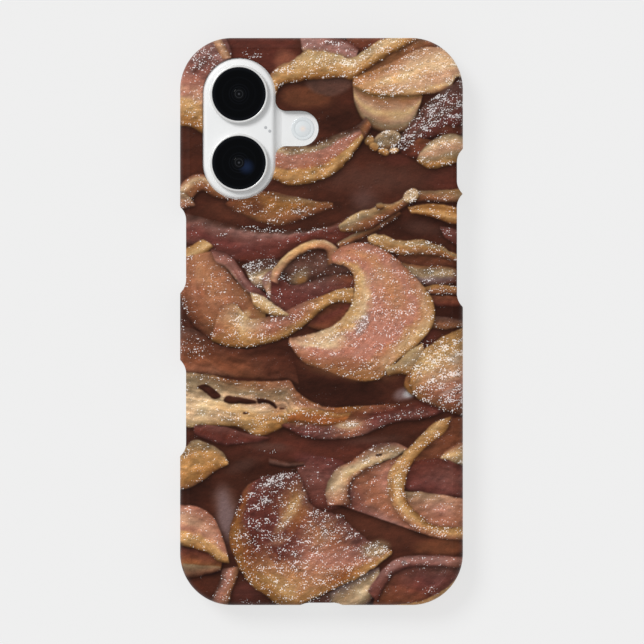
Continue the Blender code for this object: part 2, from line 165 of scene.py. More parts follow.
def smooth_path(points, count):
    """Catmull-Rom curve through the points, resampled at equal steps of its length."""
    p = points
    p = np.vstack([2 * p[0] - p[1], p, 2 * p[-1] - p[-2]])
    u = np.linspace(0, len(points) - 1, 24 * len(points))
    i = np.minimum(u.astype(int), len(points) - 2)
    f = (u - i)[:, None]
    a, b, c, d = p[i], p[i + 1], p[i + 2], p[i + 3]
    bend, twist = 2 * a - 5 * b + 4 * c - d, 3 * b - a - 3 * c + d
    curve = 0.5 * (2 * b + (c - a) * f + bend * f**2 + twist * f**3)
    length = np.concatenate([[0], np.cumsum(np.hypot(*np.diff(curve, axis=0).T))])
    at = np.linspace(0, length[-1], count)
    return np.stack([np.interp(at, length, curve[:, k]) for k in range(2)], 1), length[-1]


# The picture on the case

INKS = {
    "ink": (54, 31, 25),
    "umber": (72, 41, 32),
    "bark": (88, 52, 40),
    "maroon": (93, 50, 42),
    "brick": (116, 71, 50),
    "wine": (103, 58, 54),
    "plum": (113, 74, 68),
    "mauve": (150, 112, 106),
    "sienna": (138, 94, 64),
    "clay": (153, 102, 79),
    "tan": (173, 126, 93),
    "rose": (172, 121, 105),
    "blush": (189, 151, 122),
    "rust": (148, 91, 52),
    "amber": (152, 107, 60),
    "honey": (178, 135, 85),
    "gold": (200, 159, 107),
    "straw": (212, 182, 134),
    "cream": (211, 185, 149),
    "ash": (146, 126, 99),
    "smoke": (99, 72, 64),
    "haze": (122, 102, 103),
    "glare": (184, 186, 192),
}
CELL = 0.17
SAMPLE_STEP = 0.45 * CELL

# Cells kept round a piece for its shadows, and each shadow's blur, strength and shift down and right
WINDOW_PAD = 14
SHADOW_PAD = 4
SHADOWS = (5, 0.85, 3, 2), (1, 0.5, 1, 1)

# A cell's cover is a gain times the share of it that samples fill, less a start. Where its own
# samples fill more than OWN_SHARE it keeps their colour, and else it takes its surroundings'
COVER_GAIN, COVER_START = 1.6, 0.3
OWN_SHARE = 0.3

# The way to the light on the sheet, the step that way over which hills are compared, and how
# far in from its edges a piece is darkened, in mm
LIGHT_WAY = (-0.35, 0.94)
HILL_STEP = (-0.4, 0.7)
EDGE_FADE = 0.55

SHEET_X, SHEET_Y = 52.0, 90.0
COLUMNS, ROWS = int(2 * SHEET_X / CELL), int(2 * SHEET_Y / CELL)


def ink(name):
    return np.array(INKS[name], float) / 255.0


def read_bands(words):
    """Turns "gold rose@.6 rust" into positions from 0 to 1 and colours. An ink without its
    position stands where it would if all were spread evenly."""
    words = words.split()
    places = []
    for i, word in enumerate(words):
        places.append(float(word.split("@")[1]) if "@" in word else i / max(1, len(words) - 1))
    return places, np.array([ink(word.split("@")[0]) for word in words])


def band_colours(bands, s, t):
    """Colours across a strip, at t from 0 to 1. Several band lists, with ; between them, are
    spread along s and blended."""
    shades = []
    for words in bands.split(";"):
        places, colours = read_bands(words)
        shades.append(np.stack([np.interp(t, places, colours[:, k]) for k in range(3)], -1))
    if len(shades) == 1:
        return shades[0]
    at = s * (len(shades) - 1)
    mixed = np.zeros_like(shades[0])
    for i, shade in enumerate(shades):
        mixed += shade * np.clip(1 - np.abs(at - i), 0, 1)[..., None]
    return mixed


def box_blur(field, cells):
    """Mean over a square of 2 cells + 1 on a side, from running sums along both axes."""
    padded = np.pad(field, cells + 1, mode="edge")
    total = padded.cumsum(0).cumsum(1)
    n = 2 * cells + 1
    mean = (total[n:, n:] - total[:-n, n:] - total[n:, :-n] + total[:-n, :-n]) / n**2
    return mean[: field.shape[0], : field.shape[1]]


class Picture:
    """The printed picture: a sheet of colour laid down piece by piece from the back forwards."""

    def __init__(self):
        xs = (np.arange(COLUMNS) + 0.5) * CELL - SHEET_X
        ys = (np.arange(ROWS) + 0.5) * CELL - SHEET_Y
        self.x, self.y = np.meshgrid(xs, ys)
        self.colour = np.zeros((ROWS, COLUMNS, 3)) + ink("umber")
        self.glint = np.zeros((ROWS, COLUMNS))
        self.seed = 11

    def reach(self, x, y, rx, ry, turn):
        """How far out each cell is in a turned ellipse: 0 at its middle and 1 on its edge."""
        c, s = math.cos(math.radians(turn)), math.sin(math.radians(turn))
        dx, dy = self.x - x, self.y - y
        return np.hypot((dx * c + dy * s) / rx, (dy * c - dx * s) / ry)

    def wash(self, x, y, rx, ry, turn, colour, strength=1.0, soft=0.6):
        """A soft-edged ellipse of colour: full strength inside 1 - soft of its radius."""
        reach = self.reach(x, y, rx, ry, turn) + 0.10 * noise(self.x / 2.2, self.y / 2.2, self.seed)
        amount = (strength * (1 - smoothstep(1 - soft, 1, reach)))[..., None]
        self.colour = self.colour * (1 - amount) + ink(colour) * amount
        self.seed += 3

    def washes(self, table):
        """Washes in a row: x, y, half sizes, turn and ink, then strength and softness if given."""
        for entry in table.split(";"):
            words = entry.split()
            self.wash(*map(float, words[:5]), words[5], *map(float, words[6:]))

    def glitter(self, x, y, rx, ry, turn, density):
        """An ellipse in which grease glints, densest at its middle."""
        fade = 1 - smoothstep(0.35, 1.05, self.reach(x, y, rx, ry, turn))
        self.glint = np.maximum(self.glint, density * fade)

    def glitters(self, table):
        """Places of glinting grease: x, y, half sizes, turn and density of each."""
        for entry in table.split(";"):
            self.glitter(*map(float, entry.split()))

    def blob(self, x, y, rx, ry, turn, bands, **options):
        """A piece whose two edges are the upper and lower halves of a turned ellipse."""
        angle = np.radians(np.linspace(180, 0, 7))
        c, s = math.cos(math.radians(turn)), math.sin(math.radians(turn))
        sides = []
        for sign in (1, -1):
            u, v = rx * np.cos(angle), sign * ry * np.sin(angle) + sign * 0.05
            sides.append(np.stack([x + u * c - v * s, y + u * s + v * c], 1))
        self.lay(*sides, bands, **options)

    def strip(self, one, two, bands, **options):
        """A piece between two edge curves, each drawn through the points of a short text."""
        self.lay(edge_points(one), edge_points(two), bands, **options)

    def lay(
        self, one, two, bands, glint=0.12, streak=0.09, ragged=0.22, shadow=0.5, form=0.16,
        light=1.0, relief=0.24,
    ):
        """A piece between two edge curves. A point is one(s) + t (two(s) - one(s)), its edges
        waver by noise, its colour comes from the bands across t and streaks run along s. It is
        lit as a low form is: darker at both edges, a little lighter along the middle, and
        uneven by hills, the difference between a noise here and a step towards the light.
        Glints gather on the hills' bright sides. It casts a soft shadow beneath."""
        self.seed += 7
        seed = self.seed
        longest = max(smooth_path(one, 8)[1], smooth_path(two, 8)[1])
        count = int(longest / SAMPLE_STEP) + 8
        a, b = smooth_path(one, count)[0], smooth_path(two, count)[0]
        widths = np.hypot(*(b - a).T)
        steps = int(widths.max() / SAMPLE_STEP) + 8
        s = np.linspace(0, 1, count)[:, None] * np.ones((1, steps))
        t = np.linspace(0, 1, steps)[None, :] * np.ones((count, 1))
        along, wide = s * longest, t * widths[:, None]
        across = (b - a) / np.maximum(widths, 1e-6)[:, None]
        sway_one = ragged * cloud(along / 1.5, 0 * t, seed, 4)
        sway_two = ragged * cloud(along / 1.5, 0 * t + 40, seed, 4)
        place = a[:, None, :] * (1 - t[..., None]) + b[:, None, :] * t[..., None]
        place = place + across[:, None, :] * (sway_one * (1 - t) + sway_two * t)[..., None]
        wander = t + 0.09 * cloud(along / 4.0, wide / 1.5, seed + 1)
        colour = band_colours(bands, s, np.clip(wander, 0, 1))
        fibre = cloud(along / 5.5, wide / 0.55, seed + 2)
        mottle = cloud(along / 1.6, wide / 1.2, seed + 3, 4)
        crease = (1 - np.abs(cloud(along / 6.0, wide / 1.6, seed + 4))) ** 16
        facing = (across @ np.array(LIGHT_WAY))[:, None]
        near_one = np.exp(-((wide / EDGE_FADE) ** 2))
        near_two = np.exp(-(((widths[:, None] - wide) / EDGE_FADE) ** 2))
        rounded = 1 - form * ((0.8 + facing) * near_one + (0.8 - facing) * near_two)
        px, py = place[..., 0], place[..., 1]
        ahead = cloud((px + HILL_STEP[0]) / 2.6, (py + HILL_STEP[1]) / 1.8, seed + 6, 2)
        hills = cloud(px / 2.6, py / 1.8, seed + 6, 2) - ahead
        crown = 0.05 - 0.13 * (2 * t - 1) ** 2
        texture = 0.8 * streak * fibre + 0.09 * mottle - 0.09 * crease + relief * hills
        tone = light * rounded * (1 + texture + crown)
        wet = glint * np.clip(1 + 3.2 * hills, 0.1, 2.4)
        colour = colour * tone[..., None]
        warm = 0.05 * cloud(along / 3.0, wide / 2.0, seed + 5)
        colour = colour * np.stack([1 + 0 * warm, 1 + warm, 1 + 1.6 * warm], -1)
        self.press(place, [colour[..., 0], colour[..., 1], colour[..., 2], wet], shadow)

    def press(self, place, layers, shadow):
        """Puts samples of colour and glint into the sheet. Each sample stands for its own patch
        of area: a cell takes the mean of its samples by area, and is covered as far as their
        area fills its own. The shadow is that cover, blurred and moved down and right."""
        ds = np.gradient(place, axis=0)
        dt = np.gradient(place, axis=1)
        area = np.abs(ds[..., 0] * dt[..., 1] - ds[..., 1] * dt[..., 0]) + 1e-9
        col = np.clip(((place[..., 0] + SHEET_X) / CELL).astype(int), 0, COLUMNS - 1)
        row = np.clip(((place[..., 1] + SHEET_Y) / CELL).astype(int), 0, ROWS - 1)
        c0, c1 = max(0, col.min() - WINDOW_PAD), min(COLUMNS, col.max() + WINDOW_PAD)
        r0, r1 = max(0, row.min() - WINDOW_PAD), min(ROWS, row.max() + WINDOW_PAD)
        shape = (r1 - r0, c1 - c0)
        cell = ((row - r0) * shape[1] + (col - c0)).ravel()
        sheets = [area, *(area * layer for layer in layers)]
        size = shape[0] * shape[1]
        binned = [np.bincount(cell, sheet.ravel(), size).reshape(shape) for sheet in sheets]
        weight, total = binned[0], binned[1:]
        spread = box_blur(weight, 1)
        mean = np.stack([box_blur(part, 1) for part in total], -1) / np.maximum(spread, 1e-9)[..., None]
        sharp = np.stack(total, -1) / np.maximum(weight, 1e-9)[..., None]
        mean = np.where((weight > OWN_SHARE * CELL**2)[..., None], sharp, mean)
        cover = np.clip(COVER_GAIN * spread / CELL**2 - COVER_START, 0, 1)
        window = (slice(r0, r1), slice(c0, c1))
        if shadow:
            for cells, share, down, right in SHADOWS:
                shade = np.pad(box_blur(box_blur(cover, cells), cells), SHADOW_PAD, mode="edge")
                shade = shade[SHADOW_PAD + down :, SHADOW_PAD - right :][: shape[0], : shape[1]]
                self.colour[window] *= (1 - share * shadow * shade)[..., None]
        keep = cover[..., None]
        self.colour[window] = self.colour[window] * (1 - keep) + mean[..., :3] * keep
        self.glint[window] = self.glint[window] * (1 - cover) + mean[..., 3] * cover

    def at(self, x, y, sheet):
        """A sheet's value at any points, blended from the four nearest cells."""
        u = np.clip((x + SHEET_X) / CELL - 0.5, 0, COLUMNS - 1.001)
        v = np.clip((y + SHEET_Y) / CELL - 0.5, 0, ROWS - 1.001)
        i, j = u.astype(int), v.astype(int)
        f, g = u - i, v - j
        if sheet.ndim == 3:
            f, g = f[:, None], g[:, None]
        low = sheet[j, i] * (1 - f) + sheet[j, i + 1] * f
        high = sheet[j + 1, i] * (1 - f) + sheet[j + 1, i + 1] * f
        return low * (1 - g) + high * g


def paint_bacon():
    """Curled rashers of fried bacon, from the deepest gaps to the pieces on top."""
    p = Picture()
    # deep gaps and what is dimly seen in them
    p.washes("""
        -18 72 16 8 0 maroon; -9.5 69 4.5 5 30 clay 0.55; -4 60 10 4 0 brick 0.8;
        2 63 7 3.2 0 smoke 0.8 0.3; 4 53 9 3.5 10 ink 0.7; 10 40 30 5 0 umber; 33 38 8 4 0 maroon 0.6;
        -35 46 5 8 0 umber; 12 28 7 9 -20 smoke 0.35; 27 25 11 4 0 ink 0.8; -22 30 12 4 0 bark 0.8;
        34 3 6 5 0 ink; 5 -20 18 7 -10 ink; 28 -4 5 3 30 maroon 0.8; 0 -34 30 5 0 maroon 0.6;
        -18 -39 10 3 0 ink 0.7; -32 -46 8 4 20 ink 0.7; 16 -56 16 5 -8 bark 0.7;
        32 -60 10 3 0 brick 0.9; -30 -70 10 6 0 umber; 36 -30 4 6 0 maroon 0.7; -20 -73 6 5 0 wine 0.5
    """)
    drift = 0.20 * cloud(p.x / 7.0, p.y / 3.5, 3, 3) + 0.10 * cloud(p.x / 1.6, p.y / 0.9, 4, 2)
    p.colour *= (1 + drift)[..., None] * np.stack([1 + 0 * drift, 1 - 0.2 * drift, 1 - 0.3 * drift], -1)
    p.glint += 0.04 * smoothstep(0.1, 0.5, cloud(p.x / 4.0, p.y / 2.0, 9))
    p.washes("""
        14 38 24 6 0 smoke 0.45 0.9; 11 33 6 4 0 haze 0.3 0.95; 27 25 8 3 -10 smoke 0.45 0.9
    """)
    # top left: sparkling meat with a fat edge
    p.strip(
        "-52,80 -38,79 -31,78 -26,76 -24,72", "-52,53 -38,52.4 -35,52 -31.5,50 -26,46",
        "mauve plum@.3 rose@.6 blush@.74 gold@.82 amber; plum mauve@.2 plum@.4 rose@.6 blush@.74 "
        "gold@.79 honey@.93 amber",
        glint=0.18,
    )
    p.strip(
        "-30,77 -28.5,74 -26.5,70", "-27.5,77 -26,74 -24,70.5",
        "tan blush tan", glint=0.1, shadow=0.2,
    )
    # top: the long fold with a fat edge, and the meat above it
    p.strip("6,78 12,77 20,77", "8,71 12,72 16,73.5", "brick maroon", glint=0.05)
    p.strip(
        "-6,78 2,76.6 6,75.4 10,73", "-5,72 0,71.3 5,70.2 9,69.8",
        "maroon mauve@.25 mauve@.7 blush", glint=0.2,
    )
    p.strip(
        "10,66 14,69.6 20,73.4 26,77.5 34,84", "9,60 14,64.4 20,67.5 27,71.4 36,75",
        "brick sienna@.3 sienna@.5 bark", glint=0.05,
    )
    p.strip(
        "-15,62 -13.8,65.5 -11,68.4 -8,69.4 -4,72.2 0,72.2 4,71.4 7.5,70.2 11,72.2 14,74.2 18,76.5 "
        "26,82",
        "-14,57 -12.4,60 -11,62.7 -8,63.8 -4,64.4 0,64.8 5,65.2 8,64.6 11,66.4 15,69.3 20,72.2 29,77",
        "clay gold@.3 honey@.7 amber; straw straw@.3 gold@.6 honey@.78 amber@.88 rust; straw cream@.3 "
        "gold@.6 honey@.78 amber@.88 rust; gold straw@.3 honey@.7 amber",
        glint=0.42, ragged=0.34,
    )
    # top right: pale folded lobe, its bulge, the dark sparkling strip
    p.strip(
        "8.3,64.5 12,62.5 17,61.5 22,61 27,60.5",
        "8.8,58 10.5,54.3 14,51.2 20,50.2 24.2,52.3 26.2,57.5",
        "amber honey@.12 tan@.24 blush@.4 straw@.56 blush@.7 ash@.84 sienna",
        glint=0.05, streak=0.03, form=0.3, light=0.9, relief=0.06,
    )
    p.strip(
        "8.6,65 12,66.4 15,67.4 20,69.8 25,72.3 30,73.4 34,72.6 38,69 50,58",
        "8.4,62.6 12,61 16,60.3 20,60.2 25,60.4 30,61 34,62.5 38,65 50,54",
        "amber tan@.4 honey; tan blush@.25 straw@.5 blush@.8 honey; blush cream@.25 cream@.42 "
        "blush@.58 blush@.76 straw@.9 tan; gold cream@.3 straw@.42 blush@.58 blush@.76 cream@.95; gold "
        "straw@.3 blush@.6 rose",
        glint=0.35, streak=0.05, light=1.1, relief=0.12,
    )
    p.strip(
        "52,76 38,65.4 33,62 28,58.5 25.5,55 22.5,51.5 20.5,48.5 19.5,46.5",
        "52,58 38,52.5 34,50.8 30,49.3 27,48.3 24.5,46.3 22,45.2 19.7,45.4",
        "smoke plum@.4 wine; smoke plum@.3 smoke@.55 wine@.7 maroon; smoke plum@.35 smoke@.6 wine",
        glint=0.55,
    )
    p.blob(17.6, 48.4, 3.8, 2.4, 18, "cream ash@.35 ash@.7 sienna", glint=0.6)
    p.blob(12.7, 48.4, 1.4, 1.3, 0, "honey gold@.4 amber", glint=0.25)
    p.blob(14, 46.7, 1.3, 1.1, -20, "gold honey@.5 amber", glint=0.3)
    p.blob(16.6, 45.3, 1.5, 0.9, -15, "gold honey@.5 amber", glint=0.3)
    p.blob(19.4, 45.6, 1.3, 0.8, 10, "cream gold amber", glint=0.4)
    p.strip("33,52.5 36,52 42,54", "30,50 35,49.6 42,50", "bark maroon", glint=0.1)
    p.strip("26,49 29,48.5 32,47", "21,45 25,43.5 28,44", "brick maroon", glint=0.08)
    p.wash(20.5, 43, 5, 2.2, 0, "maroon", 0.6)
    p.strip(
        "26.5,45.5 30,48.6 34,50 38,49.5 50,46", "25.3,42.8 28,41.2 30,40.8 34,41.8 38,42.4 50,40",
        "ash cream@.2 blush@.45 ash@.7 honey@.88 amber", glint=0.3,
    )
    # the crescent under the lamp
    p.strip("4,50 9,52 12,54.5", "8,47 11,48 13.5,52", "smoke sienna bark", glint=0.03)
    p.strip(
        "-15,47.5 -10,46.8 -5,47 -1,47.9 3,49.5 7,51 10,52",
        "-14,38.2 -9,36.6 -4,36.9 0,37.9 4,40 7.5,43.4 11.2,49",
        "ash cream@.14 rose@.24 clay@.58 honey@.63 gold@.85 amber; umber ash@.1 ash@.2 rose@.27 "
        "rose@.5 clay@.6 honey@.65 gold@.86 amber; umber smoke@.2 rose@.4 clay@.6 honey@.65 gold@.85 "
        "amber",
        glint=0.2, ragged=0.34,
    )
    # rows behind the curl
    p.strip(
        "-39,35 -36,38 -33,39.3 -30,38.6 -27,35.6 -22,34",
        "-39,30 -35.5,32 -32,35 -29,33.4 -25,32.6 -22,32.5",
        "clay cream@.25 sienna@.6 brick",
        glint=0.2,
    )
    p.strip("-40,35 -37,34.6 -35,33", "-40,30 -36,30.4 -33.6,31", "ash clay", glint=0.4)
    p.strip(
        "-24,33 -19,34 -14,34.6 -8,33.4 -2,32.2 3,31.6", "-26,31 -20,28 -15,26.2 -11,25.6 -6,27 3,30",
        "bark brick bark; sienna amber@.4 sienna; ash amber@.3 sienna@.7 brick; sienna bark",
        glint=0.25, shadow=0.15,
    )
    p.wash(-17.5, 30.5, 5, 3, 0, "bark", 0.75, 0.8)
    p.wash(-8, 34.2, 9, 1.6, -4, "bark", 0.6, 0.9)
    p.strip(
        "-52,30 -38,29 -33,28 -28,26.6 -24,25.8 -18,25.2 -10,24.6 -4,24.7 0,25.2 4,26.3 8,28.5 11,29.6",
        "-52,22 -38,21 -33,20.5 -30,18.6 -26,17.2 -20,15.5 -14,15.5 -10,17.5 -6,20 -1,21.6 4,19.6 "
        "8,20.5",
        "smoke wine maroon; smoke plum@.4 wine@.6 plum; umber smoke@.1 mauve@.18 plum@.35 wine@.6 "
        "maroon; umber smoke@.12 mauve@.2 wine@.35 maroon@.6 maroon; bark maroon maroon",
        glint=0.05, shadow=0.2,
    )
    p.strip(
        "4,20.8 8,23 12,25 16,27.6 20,30", "5,19.6 9,21.2 13.5,23.2 17.5,25.8 21.5,28.6",
        "ash sienna bark", glint=0.08, shadow=0.3,
    )
    p.strip(
        "4.5,25.6 7,27.6 10,29.2 14,30.2 16,31.2 19,31.4 22,33.2 24,35.2 27,34.8 32,35 38,35.3 52,35",
        "5,24.2 8,23.8 11,24 14,25 17,27 20,28.8 23,31 27,31.9 32,31.8 38,31.8 52,31.5",
        "straw ash amber; straw ash@.3 sienna@.6 bark; cream honey@.25 sienna@.55 bark; ash sienna@.4 "
        "bark; ash sienna@.5 bark; honey ash@.5 sienna; honey amber@.6 rust; amber sienna@.6 bark",
        glint=0.2,
    )
    p.blob(15.6, 30.8, 1.1, 0.9, 0, "ash honey bark", glint=0.3)
    p.blob(23.9, 33.5, 2.3, 1.6, 35, "cream cream@.6 honey", glint=0.5)
    p.strip(
        "23,30.6 28,31.2 32,31.2 36,30.3 52,26", "24,28.8 28,28.3 31,27.4 34,26.3 37,25.6 52,21",
        "honey amber@.25 gold@.6 amber@.85 rust", glint=0.28,
    )
    p.strip("31.5,25.4 34,25 38,24.5 50,24", "33,22.2 36,20.2 38,19.2 50,18", "plum maroon", glint=0.15)
    p.strip("21,19 28,18 38,16.5 50,16", "20,16 24,14.5 32,14.2 50,13", "brick bark", glint=0.03)
    p.strip(
        "12.4,22.4 14.5,23.3 18,22.5 22,21.4 26,21.8 29,21.2 33,19.6 37,17.6 50,14",
        "12.5,21.4 15,19.8 19,18.2 23,17.8 28,17.7 33,16.9 37,15.6 50,11",
        "straw honey; honey ash@.25 amber@.45 sienna@.7 brick; gold ash@.25 amber@.5 brick",
        glint=0.36, ragged=0.4,
    )
    p.strip(
        "20,16 24,15.2 28,14.8 33,14.6 38,13.6 50,12", "24,11 28,9.6 32,9.6 38,10.2 50,9",
        "sienna ash@.2 ash@.5 haze@.7 bark", glint=0.2,
    )
    p.wash(38, 12, 4, 4, 0, "bark", 0.9)
    p.strip(
        "26,8.8 30,9.8 34,9.6 38,9 50,8", "28,7.2 32,7.1 36,7.1 50,6",
        "honey sienna@.6 bark", glint=0.4,
    )
    p.strip("29,7 34,6.8 50,6", "30,4 34,4 50,3", "brick maroon", glint=0.02, shadow=0.2)
    p.strip("29,1.6 33,1.2 37,0.6 50,0", "29,-1.6 33,-2 37,-1.6 50,-2", "smoke sienna", glint=0.2)
    # left: the tail, the sparkling patch and the plum fold
    p.strip(
        "-39,19.5 -36.5,19.4 -34,20.6 -32,21.8 -30.2,21.2",
        "-39,13 -36,14.6 -33,16.6 -31,18.2 -28.8,20",
        "honey straw amber",
        glint=0.15,
    )
    p.strip(
        "-21,15 -17,16.6 -13,16.6 -10,16.2", "-18,9 -15.5,8.2 -13.5,9 -11,12",
        "smoke smoke@.25 ash@.4 cream@.55 smoke", glint=0.6,
    )
    p.strip(
        "-16,11 -14.5,13 -12.5,14", "-13.5,5 -12.5,6 -12,9",
        "mauve blush mauve", glint=0.3, shadow=0.2,
    )
    # inside the curl
    p.strip("-10,16 -6,19 0,19.6 6,18", "-12,10 -4,9 2,10 9,12", "umber smoke@.4 ink", glint=0.1)
    p.washes("""
        -6 12 4.4 2.6 35 ash 0.8 0.8; -5.4 11 2.4 1.6 35 amber 0.7 0.9; -11.4 10.4 2 2.6 0 wine 0.7 0.8
    """)
    p.strip(
        "-13.5,12 -11,11.6 -8,9.8 -3,10.6 3,12.4 9,12.4", "-13.5,5 -9.6,2 -5,3.6 0,6.6 5,8 9,8.4",
        "maroon wine plum; plum wine@.5 maroon; smoke plum@.4 wine; brick maroon", glint=0.1,
    )
    p.strip("-2,1.5 3,4.6 8,5.6", "-4,-1.4 2,-2.4 5.5,0 8,4", "brick maroon@.4 brick", glint=0.0)
    # the wedge on the left and its fat rim
    p.strip(
        "-37.5,17 -38.5,10 -37,4 -34,-1 -30,-4.8 -25,-6.6 -20,-6.8",
        "-29.2,18.8 -26,14.8 -23,11 -20,8.6 -17,6.5 -15,3.5 -15,0",
        "clay tan@.5 clay; brick clay@.3 tan@.6 clay; bark sienna@.25 clay@.6 sienna; amber clay@.3 "
        "sienna@.6 honey",
        glint=0.1, relief=0.1,
    )
    p.strip(
        "-29.6,19.2 -25,18 -22,14.6 -19.5,11 -16,8.2 -14,6.6",
        "-28.2,15.8 -25,13.8 -22.5,10.8 -19.5,7.6 -17,6.6 -15,6",
        "plum rose; plum mauve@.4 plum@.7 mauve@.85 blush; wine plum",
        glint=0.1,
    )
    p.strip(
        "-27,4 -23,4.6 -19.5,1 -15,1.2 -10,2.6 -5,5 0,6.8 4,8.4 8.6,9",
        "-29.5,-5 -24.5,-6.7 -19.5,-6.8 -14.5,-5.8 -9.5,-4.2 -4.5,-1 0,3 4,5 8.4,4.8",
        "clay tan@.4 clay@.7 amber; straw cream@.3 gold@.6 amber; clay rose@.35 clay@.6 honey@.85 "
        "amber; rose clay@.5 honey@.8 amber; honey gold@.5 amber; gold honey@.6 amber",
        glint=0.3,
    )
    p.strip(
        "-19,7.8 -15.5,6.6 -12,4.2 -8.6,1.9", "-18,4 -15.5,2.4 -12.5,1.6 -8.8,1.6",
        "cream straw@.5 honey", glint=0.4,
    )
    p.wash(-20.5, 1.6, 2.4, 1.6, 30, "straw", 0.6)
    # the big curl
    p.strip(
        "-13.6,11 -13,13.6 -11,16.4 -8,19 -4.5,21 -1,21.8 2,21.2 4.4,19.4 5.4,16.6",
        "-11.6,10 -10.8,12.8 -9,15 -6.5,17.2 -3.5,18.9 -1,19.4 1.2,19 1.6,17 1.6,15",
        "blush rose; straw tan; straw gold@.5 tan; cream tan@.6 clay; tan clay@.5 sienna",
        glint=0.05, form=0.25,
    )
    p.strip(
        "3.4,15.4 6.4,14.6 8.5,12.4 8.8,8.6 8.1,5 6.2,1.6 3,-1.2 -1,-2.8 -5,-3.8 -8.5,-4.4",
        "2.4,17.6 6,20.4 12,20.9 17,19 21.5,15.4 26,10.8 29.6,5.5 29.6,-1 25,-6.6 20,-10.6 15,-15.4 "
        "8,-15.4 0,-12.6 -5,-10.6 -8.8,-6",
        "tan rose clay; tan gold@.16 rose@.3 tan@.6 rose@.85 clay; gold straw@.18 blush@.24 rose@.31 "
        "tan@.6 rose@.82 clay; gold cream@.15 blush@.22 rose@.29 tan@.55 rose@.78 tan@.84 blush@.93 "
        "honey; straw gold@.09 cream@.15 rose@.22 rose@.74 tan@.79 straw@.9 honey; cream gold@.12 "
        "blush@.19 rose@.26 rose@.7 tan@.77 blush@.88 honey; cream cream@.24 blush@.32 rose@.44 "
        "clay@.75 honey@.84 amber; blush cream@.3 rose@.4 clay@.75 sienna; clay blush@.5 clay@.8 "
        "sienna",
        glint=0.28, form=0.12, light=1.08, relief=0.1,
    )
    p.washes("""
        11.2 -0.5 1.8 4.4 -25 glare 0.42; 8 -12.8 15 3.8 -6 sienna 0.55; 15 12 4 6 -40 blush 0.35 0.9
    """)
    # left: rosy meat, then the fibrous fat strip with its holes
    p.strip(
        "-52,0 -38,-1.4 -33,-2.6 -28,-6 -20,-7.4 -12,-6.6 -8,-7",
        "-52,-13 -38,-13.4 -30,-14 -22,-15 -14,-15.6 -9,-15.6 -6,-17",
        "mauve rose mauve; plum mauve@.4 rose@.9 tan; smoke brick@.6 clay; bark brick@.6 clay; bark "
        "brick@.7 brick; umber bark bark; ink umber bark",
        glint=0.02, shadow=0.2,
    )
    p.glitters("-34 -7 6 4.5 0 0.35")
    p.strip(
        "-52,-12 -38,-13.4 -30,-14.2 -24,-15.6 -18,-16 -12,-16 -8.6,-15.8 -6.6,-18.6 -3.6,-20.8 "
        "0,-22.4 5,-23.2",
        "-52,-28 -38,-28.2 -32,-27.8 -27,-27.8 -22,-28.2 -18.4,-30.2 -15.5,-30.4 -12,-29 -8.6,-27.2 "
        "-3,-26.6 4,-26.4",
        "cream straw@.3 cream@.6 straw@.85 ash; ash cream@.2 straw@.5 cream@.8 ash; ash ash@.3 "
        "cream@.5 cream@.75 straw; sienna ash@.2 cream@.4 straw@.6 cream@.8 honey; sienna ash@.25 "
        "blush@.42 cream@.55 gold@.66 gold@.85 amber; clay ash@.3 blush@.5 honey@.7 amber; sienna "
        "clay@.3 straw@.6 amber; clay cream@.5 rust",
        glint=0.16, streak=0.34, shadow=0.35,
    )
    p.strip(
        "-33.2,-17.2 -31,-16.8 -28.6,-18.2 -26.9,-19.6", "-33.2,-17.6 -30.8,-19 -29,-20.6 -27,-20.3",
        "ink umber", glint=0, shadow=0.2,
    )
    p.strip(
        "-26.2,-20.8 -24.8,-19.8 -20,-20.6 -17.4,-21.2", "-26,-21.4 -24,-21.9 -20,-21.9 -17.4,-21.9",
        "umber ink", glint=0, shadow=0.2,
    )
    p.strip(
        "-17.4,-20.4 -15,-20.7 -12.8,-21.6 -11.8,-23", "-17,-21.8 -14.4,-21.9 -13,-22.6 -12.3,-23.4",
        "ink ink", glint=0, shadow=0.2,
    )
    p.strip("-21,-24.3 -19.4,-24.3", "-21,-24.7 -19.4,-24.7", "umber", glint=0, shadow=0)
    p.strip("-36.6,-19.5 -35,-19.6", "-36.6,-19.9 -35,-19.8", "ink", glint=0, shadow=0)
    p.strip("-11.2,-23 -9.8,-23.1", "-11.2,-23.4 -9.8,-23.3", "bark", glint=0, shadow=0)
    # the long strip across the middle
    p.strip(
        "-34,-27.6 -26,-28 -20,-30 -14,-31", "-34,-30 -27,-32.8 -21,-32.6 -14,-31.6",
        "plum maroon wine", glint=0.04,
    )
    p.strip(
        "-10.5,-27.4 -6,-26.6 -2,-24.6 4,-23.2 10,-22.6 16,-22.2 22,-21.6 26,-20.6 30,-22 32.4,-23.6",
        "-10.5,-28 -5,-30.6 0,-31.4 6,-31.2 11,-30.2 15,-28.6 20,-26.8 26,-26.2 30,-25.2 32.4,-24.4",
        "plum maroon; rust sienna@.2 plum@.5 wine; rust sienna@.3 plum@.6 plum; amber brick@.3 "
        "blush@.6 clay@.9 rose; clay maroon@.3 wine@.6 plum; brick maroon@.3 plum@.6 maroon; maroon "
        "maroon@.3 plum@.7 maroon; maroon wine",
        glint=0.16, streak=0.24,
    )
    p.strip(
        "-9,-24.6 -5,-23.2 0,-23.8 4,-24.6 8,-24.4", "-9,-26.8 -4,-27 1,-27.8 6,-27",
        "honey rust@.5 rust", glint=0.3, streak=0.16, shadow=0.2,
    )
    p.washes("""
        7 -27.6 4.5 1.3 5 cream 0.7; -14 -33.4 9 2 -4 smoke 0.6 0.9; -21 -38.4 7 2.4 20 smoke 0.45 0.9;
        -4 -36.6 6 2.4 -15 wine 0.7 0.9; 14 -31.6 12 1.8 4 smoke 0.4 0.9
    """)
